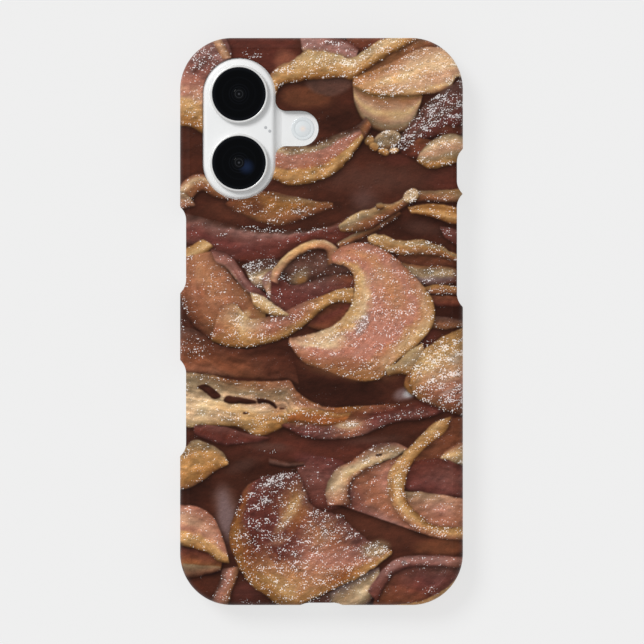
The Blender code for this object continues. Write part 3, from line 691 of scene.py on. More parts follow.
    # right: the sparkling golden blob
    p.washes("""
        22.5 -19.6 5 3.6 10 umber 0.8; 22 -19.4 4 2.2 15 haze 0.9; 23.4 -19.2 2.6 1.4 20 glare 1 0.8
    """)
    p.strip(
        "17,-12.2 20,-11 23,-8.2 27,-5.6", "17.6,-14.4 21,-13.8 24.6,-14.6 28,-12",
        "straw ash@.4 amber", glint=0.18,
    )
    p.strip("22.4,-15 24,-13.4 27,-14", "22,-17.4 24,-19.4 27,-20", "sienna amber", glint=0.1)
    p.strip(
        "24,-13 27.4,-7.6 31,-5 35,-2.8 39,-1.6 52,1",
        "23.6,-17.6 25.4,-20.4 29,-22 33,-23.8 38,-25 52,-26",
        "gold honey@.5 amber; gold straw@.3 blush@.6 clay@.8 sienna; honey gold@.25 blush@.5 rose@.7 "
        "brick; honey blush@.35 rose@.6 brick@.85 sienna; clay rose@.5 brick",
        glint=0.55, ragged=0.34,
    )
    # lower left: golden blob, smoky film, rosy strip and the tail
    p.strip(
        "-52,-28 -38,-33.4 -34,-31.6 -29.6,-32.8 -26.4,-35 -24.8,-37.4",
        "-52,-48 -38,-45 -34,-43.8 -30.6,-41.6 -27.6,-39.4 -25,-38.2",
        "ash honey@.3 honey@.55 amber@.85 sienna",
        glint=0.12,
    )
    p.wash(-25.5, -49, 5, 8, 12, "smoke", 0.9, 0.8)
    p.wash(-25.4, -52, 3.6, 11, 8, "haze", 0.95, 0.8)
    p.strip("-38,-60 -32,-61 -26,-62", "-38,-66 -33,-67 -27,-66.4", "maroon brick amber", glint=0.02)
    p.strip("-37,-64.6 -33,-65 -27,-65.4", "-37,-68.6 -33,-68 -27,-66.6", "ash bark", glint=0.02)
    p.strip(
        "-52,-47 -38,-49 -34,-49.2 -30.4,-50.8 -27.8,-54 -25.6,-60",
        "-52,-58 -38,-59.6 -33.6,-60.6 -30,-62 -27.4,-64 -24.6,-64.6",
        "mauve rose@.5 gold@.68 honey@.85 amber; rose blush@.4 rose@.6 gold@.7 gold@.85 amber; clay "
        "rose@.45 gold@.65 amber",
        glint=0.14,
    )
    p.strip(
        "-26.4,-66 -27.4,-70 -29.4,-74 -32,-82", "-21.8,-65.4 -23,-69.4 -24.4,-73.4 -26,-82",
        "smoke rose@.4 sienna", glint=0.22,
    )
    # bottom middle: the broad red piece with its fat rim
    p.strip(
        "-7,-36.6 0,-36 7,-38 12,-44", "-5.4,-44 -2.4,-49.8 3,-50.4 8,-49",
        "wine plum@.4 maroon", glint=0.08, shadow=0.12, ragged=0.5,
    )
    p.strip(
        "-14,-36 -9,-37.4 -4.6,-37.4", "-14,-38.4 -9,-39 -4.6,-38.4",
        "umber smoke ink", glint=0.02, shadow=0.2,
    )
    p.strip(
        "2,-72.4 7,-69.4 11,-67.2 15.4,-65.6", "2,-84 8,-80 13,-75 15.6,-69",
        "haze ash@.3 cream@.55 ash@.8 smoke", glint=0.12,
    )
    p.strip("-8,-75 -3,-73.6 2,-72.4", "-8,-84 -3,-82 3,-80", "smoke wine", glint=0.2)
    p.strip(
        "-18,-42.6 -20.6,-44.6 -22.6,-50 -24.6,-57 -22.8,-64 -19.6,-69.4 -15,-73 -9,-77 -2,-73.8 "
        "5,-70.6 10,-68.2 15,-65 18.8,-62",
        "-16,-41.6 -13,-41 -9,-40.2 -6,-41 -4.6,-44.6 -2.4,-49 1,-50.8 5,-51.8 8,-54.6 12,-58 "
        "15.6,-59.6 18.8,-61.2",
        "clay wine@.5 plum; maroon rust@.12 wine@.3 plum@.8 plum; rust amber@.1 wine@.26 maroon@.6 "
        "plum; amber rust@.1 maroon@.25 wine@.55 honey@.85 plum; amber honey@.12 tan@.3 maroon@.42 "
        "wine@.65 clay@.85 plum; amber gold@.15 tan@.35 rose@.55 tan@.75 plum; honey tan@.25 rose@.5 "
        "clay@.75 plum; amber rust@.2 rose@.5 plum@.8 plum; gold honey@.25 rose@.55 plum; gold "
        "honey@.5 amber",
        glint=0.36, form=0.1, ragged=0.4,
    )
    p.washes("""
        -6.4 -53 7 2.2 62 rust 0.6 0.9; -9 -51.8 10.5 2.3 57 straw 0.58 0.9;
        -11.4 -58.6 5 1.8 20 blush 0.5 0.9; 14 -60.8 5.4 3 12 ash 0.75; 14.6 -61.4 3.6 1.4 18 cream 0.6
    """)
    # lower right: the tent-shaped curl
    p.strip(
        "31,-26 34,-26 50,-24", "24,-38 30,-38 50,-38",
        "bark brick; brick brick@.6 bark; maroon brick", glint=0.03, shadow=0.1,
    )
    p.strip(
        "33,-34.6 36,-32.8 39,-32 50,-31", "31,-37.4 36,-38 39,-38.8 50,-39",
        "clay straw@.5 ash", glint=0.3,
    )
    p.strip(
        "23,-38 28,-36.8 33,-36.8 38,-38.6 52,-41", "22,-44.6 27,-45.8 33,-46.6 38,-47.4 52,-48",
        "maroon wine; maroon plum@.5 wine; wine plum@.4 maroon; maroon wine", glint=0.03, shadow=0.3,
    )
    p.strip(
        "22,-45.4 27,-45.6 33,-46.4 38,-47.2 52,-48", "24,-50.6 27,-53.4 31,-55.4 38,-55.6 52,-56",
        "ash clay; blush rose@.4 clay; rose tan@.4 clay; clay tan clay", glint=0.12, shadow=0.2,
    )
    p.strip(
        "21,-35.6 16,-37.8 11,-40 7.6,-43 6.6,-46 4,-48.6",
        "23.6,-38 20.6,-42 20.6,-47 23,-51.4 26,-54.6 30,-57.6",
        "clay tan; clay rose tan; clay rose@.5 tan; clay clay@.5 tan; plum clay@.4 clay; maroon "
        "mauve@.5 clay",
        glint=0.1,
    )
    p.strip(
        "1.6,-49 1.2,-44.6 3.6,-39.8 8,-37.2 11.4,-34.6 15,-32.8 19.6,-32.4 23,-33.8",
        "8,-48.8 7,-45.6 8.2,-42.4 11,-40 14,-38.4 18,-36.8 21,-35.4 23,-34.6",
        "rose clay@.5 bark; ash cream@.4 blush@.8 clay; blush cream@.4 straw@.7 clay; clay cream@.5 "
        "straw@.8 clay; smoke blush@.4 cream@.8 straw; plum ash@.4 cream; rose ash",
        glint=0.2,
    )
    p.strip("14.6,-35.4 16.4,-35.2", "14.2,-36 16,-35.8", "ink", glint=0, shadow=0)
    p.strip(
        "30,-27 27,-29.8 24,-33 21,-36 18.4,-39.6 17.4,-44 18.6,-48.4 21.6,-52.6 26,-56 31,-57.8 "
        "38,-58.4 52,-59",
        "34.4,-25.4 33.4,-29 29.4,-32.2 26.2,-35 24,-38 22.6,-41.4 22.2,-45 23.4,-48.8 26.4,-52 "
        "30,-54.4 38,-55 52,-55",
        "honey straw@.4 amber; gold honey@.5 amber; gold gold@.5 amber; tan honey@.25 straw@.55 "
        "honey@.8 amber; clay tan@.2 gold@.6 amber; clay tan@.3 honey@.7 amber; clay gold@.5 honey; "
        "amber straw@.5 honey; amber honey@.5 amber",
        glint=0.34, form=0.05, ragged=0.4, shadow=0.35,
    )
    # bottom right: the last strips
    p.strip(
        "16,-66 22,-64 30,-64 40,-64 52,-64", "12,-84 20,-84 30,-84 40,-84 52,-84",
        "wine brick@.3 brick; smoke wine@.3 brick@.6 wine; smoke plum@.25 wine@.5 brick; ink bark "
        "brick",
        glint=0.04, shadow=0.2,
    )
    p.strip(
        "12.4,-72 15,-67.8 18,-64.6 21,-63 26,-62.4 32,-62.5 38,-62.8 52,-63",
        "15,-75 17,-70.4 20,-67 24,-65.4 30,-65.4 38,-65.8 52,-66",
        "plum maroon; mauve mauve@.4 plum@.8 wine; plum mauve@.3 plum; plum rose@.2 brick; clay brick",
        glint=0.12,
    )
    p.strip(
        "19,-76 24,-75.2 28,-74.2 33,-71.4 37,-68", "19,-82 26,-82 33,-81 40,-77 44,-70",
        "gold honey amber", glint=0.15,
    )
    # broad reflections of the light
    p.washes("""
        -14.6 -48 2.6 1.1 0 glare 0.5 0.9; -16.4 -55.8 1.8 0.6 -15 glare 0.5 0.9;
        -13.6 -43.4 3 1.2 15 glare 0.35 0.9; 35.6 -10 2.6 2.4 20 glare 0.45 0.9;
        33.5 -18.8 3.4 0.8 25 glare 0.35 0.9; 1 -57.4 1.4 2.4 20 glare 0.3 0.9;
        22.2 -64.3 1.2 0.7 0 glare 0.5 0.9; 30 57 5 1.2 42 glare 0.3 0.9
    """)
    # where the grease glints most
    p.glitters("""
        -32 70 4.6 3.6 30 0.75; -28.5 68.4 1.6 2.4 -40 0.8; -18 71.6 4 2 0 0.45; 3 74.4 4.6 0.8 -8 0.9;
        1 69.4 6 3 0 0.5; 12 72 4 1.6 35 0.5; 28 71.8 4 1.4 0 0.5; 17 62 4.6 3.6 20 0.6;
        16 57.8 3.4 1.6 -10 0.45; 29 66 7 3.6 0 0.42; 34 64.4 2 1.6 0 0.6; 30 56 9 4 42 0.8;
        23 48 4 2.4 40 0.75; 19 49 2.4 1.6 10 0.7; 32.4 47.2 3 1.6 30 0.7; 28 42.4 2.4 1 -25 0.5;
        -34.6 55 3.4 1.8 -20 0.55; -7 45.3 4 1.1 10 0.6; -1 40.6 6 1.4 25 0.42; -32 36.8 2.4 1.4 0 0.5;
        -36 32.6 2 2 0 0.5; -5.6 29.8 3.6 1.8 15 0.75; -13 33.4 3 1 0 0.35; -16 24.6 8 1 -6 0.6;
        -3 24.2 8 1 4 0.7; -26 23.2 2.4 1.2 20 0.45; 24 33.8 2 1.8 0 0.7; 28.4 21 1.8 0.8 -10 0.9;
        31 20 3 1.2 -20 0.5; 29 13.6 3.4 1.5 10 0.7; 33 8.6 3 0.8 0 0.7; -35 17.2 2 0.9 20 0.8;
        -17.4 15 2.6 1.6 0 0.85; -13 15.8 1.8 1.2 0 0.8; -16.5 9.6 1.2 1.2 0 0.9;
        -8.6 12 3.6 1.8 15 0.5; -5 13.4 2.4 2 20 0.5; -11.3 7.4 0.8 2 0 0.5; -28 10 5 5 0 0.3;
        -22.4 0.6 2.4 3.6 0 0.75; -22.6 -3.6 1.8 1.8 0 0.7; -16.4 -3.8 3 1.6 10 0.5;
        -10 -1.4 2 1.2 0 0.5; -13 3.2 3.4 1.4 -25 0.55; 11 -0.6 2.6 4.6 -25 0.9; 17 3 6 5 -20 0.5;
        20 -2 5 4 0 0.42; 26 3 3 5 0 0.3; 8 -4.6 4 2 0 0.4; 26.6 -6.2 1 1.2 0 0.7; 31 -9 5 6 0 0.62;
        32 -15 5 4 0 0.7; 35.6 -18.4 3 1 25 0.9; 28 -20 4 1.4 -20 0.6; 31.8 -20.6 1 1.4 0 0.9;
        -31 -14.6 3 1 0 0.6; -32 -24.4 1.6 1.2 -40 0.5; -24 -25.6 5 2 0 0.5; -17.6 -27 3 2.4 0 0.6;
        -11 -25.6 2.6 1.2 15 0.7; -3 -24.6 4 1 -10 0.6; 8 -27.4 3.4 1.1 5 0.9; 22 -25 8 1.3 12 0.6;
        3 -29 5 1.4 0 0.35; -32.6 -34 4 2 0 0.4; -36 -35.6 2.4 1.6 0 0.5; -14 -34.6 3.4 0.9 5 0.3;
        -12 -42.6 7 3 15 1; -14.8 -48 2.6 1.4 0 1; -12.6 -45 2 1 0 0.8; -19.8 -47.6 1.4 3 0 0.5;
        -16.6 -55.8 2.2 0.9 -15 1; -12 -57.8 4 2 -10 0.7; -18.6 -58.4 2 1.6 0 0.7;
        -7 -62 1.6 2.6 30 0.7; -7 -66 3.6 1.6 -15 0.75; -11 -62.4 1.4 1.4 0 0.6; -1.6 -51 1.4 1.4 0 0.9;
        -3 -55.4 2 1.6 30 0.7; 0.6 -56 1.6 2.2 0 0.9; 4 -57 4 4 0 0.5; 5 -52.2 1.6 0.8 0 0.8;
        -1 -61 3 2 30 0.65; 11 -63.6 4 1.8 20 0.75; 14.4 -60.8 4.6 2.4 12 0.8; 3.6 -67.6 4 1.8 10 0.6;
        -20 -68 2.4 1.6 -30 0.6; -14 -70.4 3 1.4 -20 0.4; -10.6 -74 2.4 1.2 0 0.5;
        -35 -57.6 2.4 1.6 0 0.5; -25 -69 1.6 2 0 0.5; -27 -73.6 1.6 1.6 0 0.5; 12 -37.2 2 1.6 30 0.7;
        7 -39.6 3 1.2 25 0.4; 17 -34.6 4 1 0 0.5; 20 -41 2.4 4 0 0.5; 21.6 -37.4 1.6 2 0 0.5;
        29 -30.8 1.6 1 30 0.6; 30.6 -56.2 2.2 1.2 -10 0.6; 33 -37.2 1.2 0.8 0 0.8; 22 -64.4 1.2 1 0 0.9;
        18.4 -67.4 1 1 0 0.9; 26 -63.2 3 0.6 0 0.5; 32 -62.7 4 0.4 0 0.5; 29 -71.6 3 1.2 15 0.4;
        -19 -75 4 1.4 0 0.4; -0.4 -74 3 1 0 0.3; 13.4 -42.6 2.4 2.4 0 0.35; -36.4 4.6 1.2 3 0 0.6;
        -36.6 -1 1.4 2.4 0 0.4
    """)
    p.colour *= (1 - 0.16 * np.clip(p.glint - 0.2, 0, 1))[..., None] * [1.0, 0.955, 0.925]
    return p


# Surface meshes

def add_object(name, data):
    """An object in the scene for a mesh, light or camera."""
    obj = bpy.data.objects.new(name, data)
    bpy.context.scene.collection.objects.link(obj)
    return obj


def new_piece(name, points, faces, finish):
    """A piece of the device, from an array of points in millimetres and a list of faces."""
    mesh = bpy.data.meshes.new(name)
    mesh.from_pydata((points * MM).tolist(), [], faces)
    mesh.materials.append(finish)
    obj = add_object(name, mesh)
    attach(obj, "device")
    return obj


def shade(mesh, angle):
    """Smooth shading that stays crisp where faces meet at more than an angle in degrees."""
    mesh.shade_smooth()
    mesh.set_sharp_from_angle(angle=math.radians(angle))


def arc(centre_x, centre_y, radius, start, end, step):
    """Points along an arc with its angles in degrees, about a step apart."""
    count = max(3, math.ceil(abs(math.radians(end - start)) * radius / step))
    angle = np.radians(np.linspace(start, end, count + 1))
    return np.stack([centre_x + radius * np.cos(angle), centre_y + radius * np.sin(angle)], 1)


def divide(loop, step):
    """Adds points along a closed loop's straight runs so that none is longer than the step."""
    parts = []
    for a, b in zip(loop, np.roll(loop, -1, 0)):
        n = max(1, math.ceil(math.hypot(*(b - a)) / step - 0.1))
        parts.append(a + (b - a) * (np.arange(n) / n)[:, None])
    return np.vstack(parts)


def rounded_loop(corners, step):
    """A closed loop through (x, y, radius) corners, each turned into a tangent arc, or kept
    sharp where its radius is 0."""
    parts = []
    points = [np.array(c[:2], float) for c in corners]
    for i, (x, y, radius) in enumerate(corners):
        here, before, after = points[i], points[i - 1], points[(i + 1) % len(points)]
        u = (before - here) / np.linalg.norm(before - here)
        v = (after - here) / np.linalg.norm(after - here)
        if radius == 0:
            parts.append(here[None])
            continue
        half = math.acos(np.clip(u @ v, -1, 1)) / 2
        start = here + u * radius / math.tan(half)
        end = here + v * radius / math.tan(half)
        centre = here + (u + v) / np.linalg.norm(u + v) * radius / math.sin(half)
        first = math.degrees(math.atan2(*(start - centre)[::-1]))
        last = math.degrees(math.atan2(*(end - centre)[::-1]))
        last = first + (last - first + 180) % 360 - 180
        parts.append(arc(*centre, radius, first, last, step))
    return divide(np.vstack(parts), step)


def skin_distance(z):
    """Length along the skin from the flat back down to a height within the rounded edge."""
    return EDGE * math.acos((z - TOP_Z + EDGE) / EDGE)


def case_loops(step):
    """The unrolled skin's outline with the button windows and the port let into it, the
    lens opening, and the two sound slots."""
    x, y, r = CORE_X + SKIRT, CORE_Y + SKIRT, CORE_CORNER + SKIRT
    window_x = CORE_X + skin_distance(WINDOW_TOP)
    port_y = -(CORE_Y + skin_distance(PORT_TOP))
    corners = [(-x, -y, r)]
    corners += [(-PORT_HALF_WIDTH, -y, 0), (-PORT_HALF_WIDTH, port_y, PORT_CORNER)]
    corners += [(PORT_HALF_WIDTH, port_y, PORT_CORNER), (PORT_HALF_WIDTH, -y, 0), (x, -y, r)]

    def window(side, low, high):
        ends = [low + WINDOW_MARGIN, high - WINDOW_MARGIN][::side]
        return [
            (side * x, ends[0], 0),
            (side * window_x, ends[0], WINDOW_CORNER),
            (side * window_x, ends[1], WINDOW_CORNER),
            (side * x, ends[1], 0),
        ]

    corners += window(*SCOOPS["volume"]) + window(*SCOOPS["action"])
    corners += [(x, y, r), (-x, y, r)]
    corners += window(*SCOOPS["power"]) + window(*SCOOPS["shutter"])
    loops = [rounded_loop(corners, step)]
    side = LENS_X + HOLE_RADIUS
    rise = LOBE_HALF_HEIGHT + LOBE_FILLET
    hole = np.vstack(
        [
            arc(LENS_X, LENS_YS["upper"], HOLE_RADIUS, 0, 180, step),
            arc(LENS_X, LENS_YS["lower"], HOLE_RADIUS, 180, 360, step),
            arc(side + LOBE_FILLET, LENS_MIDDLE_Y - rise, LOBE_FILLET, 180, 90, step),
            arc(LOBE_END_X, LENS_MIDDLE_Y, LOBE_HALF_HEIGHT, -90, 90, step),
            arc(side + LOBE_FILLET, LENS_MIDDLE_Y + rise, LOBE_FILLET, 270, 180, step),
        ]
    )
    loops.append(divide(hole, step))
    wall_top = CORE_Y + ARC_LENGTH + TOP_Z - EDGE
    for sign in (-1, 1):
        left, right = sorted((sign * SLOT_XS[0], sign * SLOT_XS[1]))
        low, high = (z - wall_top for z in SLOT_ZS)
        ends = (left, low), (right, low), (right, high), (left, high)
        loops.append(rounded_loop([(*end, SLOT_CORNER) for end in ends], step))
    return loops


def outside_core(x, y):
    """Nearest point of the flat back's outline, the direction out from it, and the distance,
    which is zero on the flat."""
    straight_x, straight_y = CORE_X - CORE_CORNER, CORE_Y - CORE_CORNER
    qx, qy = np.abs(x) - straight_x, np.abs(y) - straight_y
    in_corner = (qx > 0) & (qy > 0)
    length = np.maximum(np.hypot(qx, qy), 1e-9)
    nx = np.where(in_corner, qx / length, (qx - CORE_CORNER > qy - CORE_CORNER).astype(float))
    ny = np.where(in_corner, qy / length, 1.0 - nx)
    distance = np.where(in_corner, length, np.maximum(qx, qy)) - CORE_CORNER
    distance = np.maximum(distance, 0.0)
    nx, ny = nx * np.sign(x), ny * np.sign(y)
    return x - nx * distance, y - ny * distance, nx, ny, distance


def outer_profile(d):
    """How far out, and how high, the outer skin is at distance d along it: a quarter round,
    the wall, a smaller quarter round and the flat lip."""
    turn = np.clip(d / EDGE, 0, math.pi / 2)
    down = np.clip(d - ARC_LENGTH, 0, WALL_LENGTH)
    tuck = np.clip((d - ARC_LENGTH - WALL_LENGTH) / LIP_EDGE, 0, math.pi / 2)
    inward = np.clip(d - ARC_LENGTH - WALL_LENGTH - LIP_ARC_LENGTH, 0, LIP_LENGTH)
    out = EDGE * np.sin(turn) - LIP_EDGE * (1 - np.cos(tuck)) - inward
    height = TOP_Z - EDGE * (1 - np.cos(turn)) - down - LIP_EDGE * np.sin(tuck)
    return out, height


# The inner skin: how far out and how high it is, at distances along the skin
INNER_KEYS = (0.0, 0.9, 1.4, 1.9, 2.4, 4.712, 10.9, 11.4, 11.9, 12.4, SKIRT)
INNER_OUT = (0.0, 0.2, 0.7, 1.1, 1.25, 1.25, 1.25, 1.1, 0.7, 0.2, 0.1)
INNER_Z = (9.0, 9.0, 8.87, 8.5, 7.95, 7.5, 1.75, 1.2, 0.83, 0.7, 0.7)


def scoop_limit(x, y):
    """Largest distance from the middle that the finger scoops leave at each point: their floor,
    with a quarter of a circle at each end."""
    limit = np.full_like(x, HALF_WIDTH)
    run = math.sqrt(SCOOP_RADIUS**2 - (SCOOP_RADIUS - HALF_WIDTH + SCOOP_FLOOR) ** 2)
    for side, low, high in SCOOPS.values():
        past = np.maximum(np.maximum(low + run - y, y - high + run), 0)
        bend = np.sqrt(np.maximum(SCOOP_RADIUS**2 - past**2, 0))
        here = (y > low) & (y < high) & (x * side > 0)
        limit = np.where(here, np.minimum(limit, SCOOP_FLOOR + SCOOP_RADIUS - bend), limit)
    return limit


# Points are compared with the loops in slices of Y, which keeps the arrays small
DISTANCE_SLICES = 160
INSIDE_SLICES = 60


def grid_points(x_reach, y_reach, step):
    """A triangular lattice: rows offset by half a step, and each point stirred a little so
    that no three stand in line."""
    ys = np.arange(-y_reach, y_reach, step * 0.866)
    xs = np.arange(-x_reach, x_reach, step)
    x, y = np.meshgrid(xs, ys)
    x = x + (np.arange(len(ys)) % 2)[:, None] * step / 2
    i, j = np.meshgrid(np.arange(len(xs)), np.arange(len(ys)))
    x = x + 0.12 * step * (lattice(i, j, 5) - 0.5)
    y = y + 0.12 * step * (lattice(i, j, 6) - 0.5)
    return np.stack([x.ravel(), y.ravel()], 1)


def loop_distance(points, loops, reach):
    """Distance from each point to the nearest loop, or the reach where it is farther."""
    a = np.vstack(loops)
    b = np.vstack([np.roll(loop, -1, 0) for loop in loops])
    best = np.full(len(points), reach)
    middle, half = (a + b) / 2, np.hypot(*(b - a).T) / 2
    order = np.argsort(points[:, 1])
    for chunk in np.array_split(order, DISTANCE_SLICES):
        part = points[chunk]
        low, high = part[:, 1].min() - reach, part[:, 1].max() + reach
        near = (middle[:, 1] > low - half) & (middle[:, 1] < high + half)
        if not near.any():
            continue
        start, run = a[near], (b - a)[near]
        gap = part[:, None, :] - start[None]
        f = np.clip((gap * run).sum(-1) / np.maximum((run * run).sum(-1), 1e-12), 0, 1)
        away = gap - f[..., None] * run[None]
        best[chunk] = np.minimum(best[chunk], np.hypot(away[..., 0], away[..., 1]).min(1))
    return best


def enclosed(points, loops):
    """Whether a level line drawn to the right of each point crosses the loops an odd number
    of times."""
    if not len(points):
        return np.zeros(0, bool)
    a = np.vstack(loops)
    b = np.vstack([np.roll(loop, -1, 0) for loop in loops])
    tall_enough = np.maximum(a[:, 1], b[:, 1]) >= points[:, 1].min()
    reached = tall_enough & (np.minimum(a[:, 1], b[:, 1]) <= points[:, 1].max())
    a, b = a[reached], b[reached]
    x, y = points[:, :1], points[:, 1:]
    spans = (a[:, 1] > y) != (b[:, 1] > y)
    rise = np.where(np.abs(b[:, 1] - a[:, 1]) < 1e-12, 1e-12, b[:, 1] - a[:, 1])
    meets = a[:, 0] + (y - a[:, 1]) * (b[:, 0] - a[:, 0]) / rise
    return (spans & (meets > x)).sum(1) % 2 == 1


def fill_loops(loops, inner, rings=()):
    """Triangles between the loops, through the inner points and along the rings, all inside
    the outline. The edges that come back are the loops' own."""
    boundary = np.vstack([*loops, *rings])
    points = np.vstack([boundary, inner])
    edges, first = [], 0
    for loop in [*loops, *rings]:
        n = len(loop)
        edges += [(first + i, first + (i + 1) % n) for i in range(n)]
        first += n
    made = delaunay_2d_cdt([tuple(q) for q in points.tolist()], edges, [], 0, 1e-7, False)
    flat = np.array([tuple(v) for v in made[0]])
    if len(flat) != len(points) or np.abs(flat - points).max() > 1e-4:
        raise RuntimeError("the triangulation moved or merged points")
    tris = np.array(made[2])
    # a triangle with all its corners on the loops may lie outside them or in a hole
    doubtful = np.flatnonzero((tris < len(boundary)).all(1))
    within = enclosed(flat[tris[doubtful]].mean(1), loops)
    tris = np.delete(tris, doubtful[~within], axis=0)
    a, b, c = (flat[tris[:, k]] for k in range(3))
    turn = (b[:, 0] - a[:, 0]) * (c[:, 1] - a[:, 1]) - (b[:, 1] - a[:, 1]) * (c[:, 0] - a[:, 0])
    tris = np.where((turn < 0)[:, None], tris[:, ::-1], tris)[np.abs(turn) > 1e-9]
    return points, tris, edges[: sum(len(loop) for loop in loops)]


def clear_of(points, loops, reach):
    """The points inside the loops' shape that keep their distance from its edges."""
    return enclosed_points(points[loop_distance(points, loops, reach) >= reach], loops)


def enclosed_points(points, loops):
    """The points inside the loops' shape, tested a slice at a time."""
    chunks = np.array_split(points[np.argsort(points[:, 1])], INSIDE_SLICES)
    return np.vstack([chunk[enclosed(chunk, loops)] for chunk in chunks])


def offset_loops(loops, solid_first):
    """Two copies of each loop, set a little and then a rim's width into the material."""
    made = []
    for n, loop in enumerate(loops):
        ahead = np.roll(loop, -1, 0) - np.roll(loop, 1, 0)
        normal = np.stack([-ahead[:, 1], ahead[:, 0]], 1) / np.maximum(np.hypot(*ahead.T), 1e-9)[:, None]
        signed = np.sum(loop[:, 0] * np.roll(loop[:, 1], -1) - np.roll(loop[:, 0], -1) * loop[:, 1])
        inward = normal * (1 if signed > 0 else -1) * (1 if n == 0 and solid_first else -1)
        made += [loop + inward * RIM_ROUND * f for f in (0.35, 1.0)]
    return np.vstack(made)


def rim_dip(flat, loops):
    """How far the skin drops over the small round at a cut edge."""
    gap = loop_distance(flat, loops, RIM_ROUND)
    return RIM_ROUND - np.sqrt(np.maximum(RIM_ROUND**2 - (RIM_ROUND - gap) ** 2, 0))


def printed_piece(name, finish, outer, tris, inner, tris_in, edges):
    """A closed piece from two skins with the same outline: quads bridge their edges."""
    ring, shift = np.array(edges), len(outer)
    sides = np.stack([ring[:, 1], ring[:, 0], ring[:, 0] + shift, ring[:, 1] + shift], 1)
    faces = tris.tolist() + (tris_in[:, ::-1] + shift).tolist() + sides.tolist()
    piece = new_piece(name, np.vstack([outer, inner]), faces, finish)
    shade(piece.data, 50)
    return piece


def skin_points(loops, cut, rings):
    """Points for the outer skin: two rims along each cut edge, a fine lattice over the rounded
    edge, a wider one down the walls, and a sparse one on the bed under the panels."""
    fine = grid_points(CORE_X + FINE_REACH + 1, CORE_Y + FINE_REACH + 1, FINE_STEP)
    depth = outside_core(*fine.T)[4]
    fine = fine[(depth > 0.5 * FINE_STEP) & (depth < FINE_REACH)]
    wall = grid_points(CORE_X + SKIRT, CORE_Y + SKIRT, WALL_STEP)
    depth = outside_core(*wall.T)[4]
    wall = wall[(depth > FINE_REACH + WALL_STEP / 2) & (depth < SKIRT - 0.2)]
    bed = grid_points(CORE_X - 2, CORE_Y - 2, INSIDE_STEP)
    bed = bed[outside_core(bed[:, 0] * 1.05, bed[:, 1] * 1.03)[4] < 1e-6]
    rims = offset_loops(cut, True)
    rims = rims[loop_distance(rims, loops, 0.3 * RIM_ROUND) >= 0.29 * RIM_ROUND]
    rims = rims[loop_distance(rims, rings, 0.2) >= 0.15]
    body = [clear_of(part, loops, RIM_ROUND + 0.45 * FINE_STEP) for part in (fine, wall, bed)]
    return np.vstack([rims, *body])


def outer_skin(loops):
    """The outer skin's points, triangles and outline, and each point's place in the picture."""
    # the lens opening, which is loop 1, gets its round from the panel above it
    cut = [loops[0], *loops[2:]]
    rings = [case_ring(0.0, FINE_STEP), case_ring(*BED_RING)]
    flat, tris, edges = fill_loops(loops, skin_points(loops, cut, rings), rings)
    x0, y0, nx, ny, d = outside_core(*flat.T)
    out, z = outer_profile(d)
    dip = rim_dip(flat, cut)
    slope = np.clip(d / EDGE, 0, math.pi / 2)
    tuck = np.clip((d - ARC_LENGTH - WALL_LENGTH) / LIP_EDGE, 0, math.pi / 2)
    out = out - dip * np.sin(slope) * np.cos(tuck)
    z = z - dip * np.cos(slope) + dip * np.sin(tuck)
    # the flat back within its outline, whose ring follows the loops, drops to the bed
    first = sum(len(loop) for loop in loops)
    on_ring = np.zeros(len(flat), bool)
    on_ring[first : first + len(rings[0])] = True
    z = np.where((d < 1e-6) & ~on_ring, PANEL_BED, z)
    x, y = x0 + nx * out, y0 + ny * out
    limit = scoop_limit(x, y)
    outer = np.stack([np.clip(x, -limit, limit), y, z], 1)
    # on the back the print keeps its place in plan, and it runs on down the walls
    near = EDGE * np.sin(np.minimum(d, PRINT_TURN) / EDGE)
    far = PRINT_TURN_OUT + PRINT_LET_OUT * (d - PRINT_TURN)
    spread = np.where(d < PRINT_TURN, near, far) + PRINT_WALL_LET_OUT * np.maximum(d - ARC_LENGTH, 0)
    return outer, tris, edges, (x0 + nx * spread, y0 + ny * spread)


def inner_skin(loops):
    """The same outline filled coarsely: the inner skin's points, with room for the camera
    island, and its triangles."""
    hidden = grid_points(CORE_X + SKIRT, CORE_Y + SKIRT, INSIDE_STEP)
    hidden = clear_of(hidden, loops, 0.5 * INSIDE_STEP)
    hidden = hidden[outside_core(*hidden.T)[4] < 1.0]
    keys = [case_ring(key, 2.0) for key in INNER_KEYS[1:-1]]
    hidden = np.vstack([hidden, clear_of(np.vstack(keys), loops, 0.3)])
    flat, tris, _ = fill_loops(loops, hidden)
    x0, y0, nx, ny, d = outside_core(*flat.T)
    out = np.interp(d, INNER_KEYS, INNER_OUT)
    pill_y = np.clip(flat[:, 1], LENS_YS["lower"], LENS_YS["upper"])
    pill = np.hypot(flat[:, 0] - LENS_X, flat[:, 1] - pill_y)
    relief = RELIEF_DEPTH * (1 - smoothstep(RELIEF_RADIUS, RELIEF_RADIUS + 0.4, pill))
    z = np.interp(d, INNER_KEYS, INNER_Z) + relief
    return np.stack([x0 + nx * out, y0 + ny * out, z], 1), tris


def build_case(finish, picture):
    """The case as one closed body: an outer skin that carries the print over the edges, an
    inner skin, and the cut faces between them. Its flat back is a bed for the panels."""
    loops = case_loops(FINE_STEP)
    outer, tris, edges, place = outer_skin(loops)
    inner, tris_in = inner_skin(loops)
    case = printed_piece("printed_case", finish, outer, tris, inner, tris_in, edges)
    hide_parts("case_shell")
    put_print(case, picture, *place, inner)


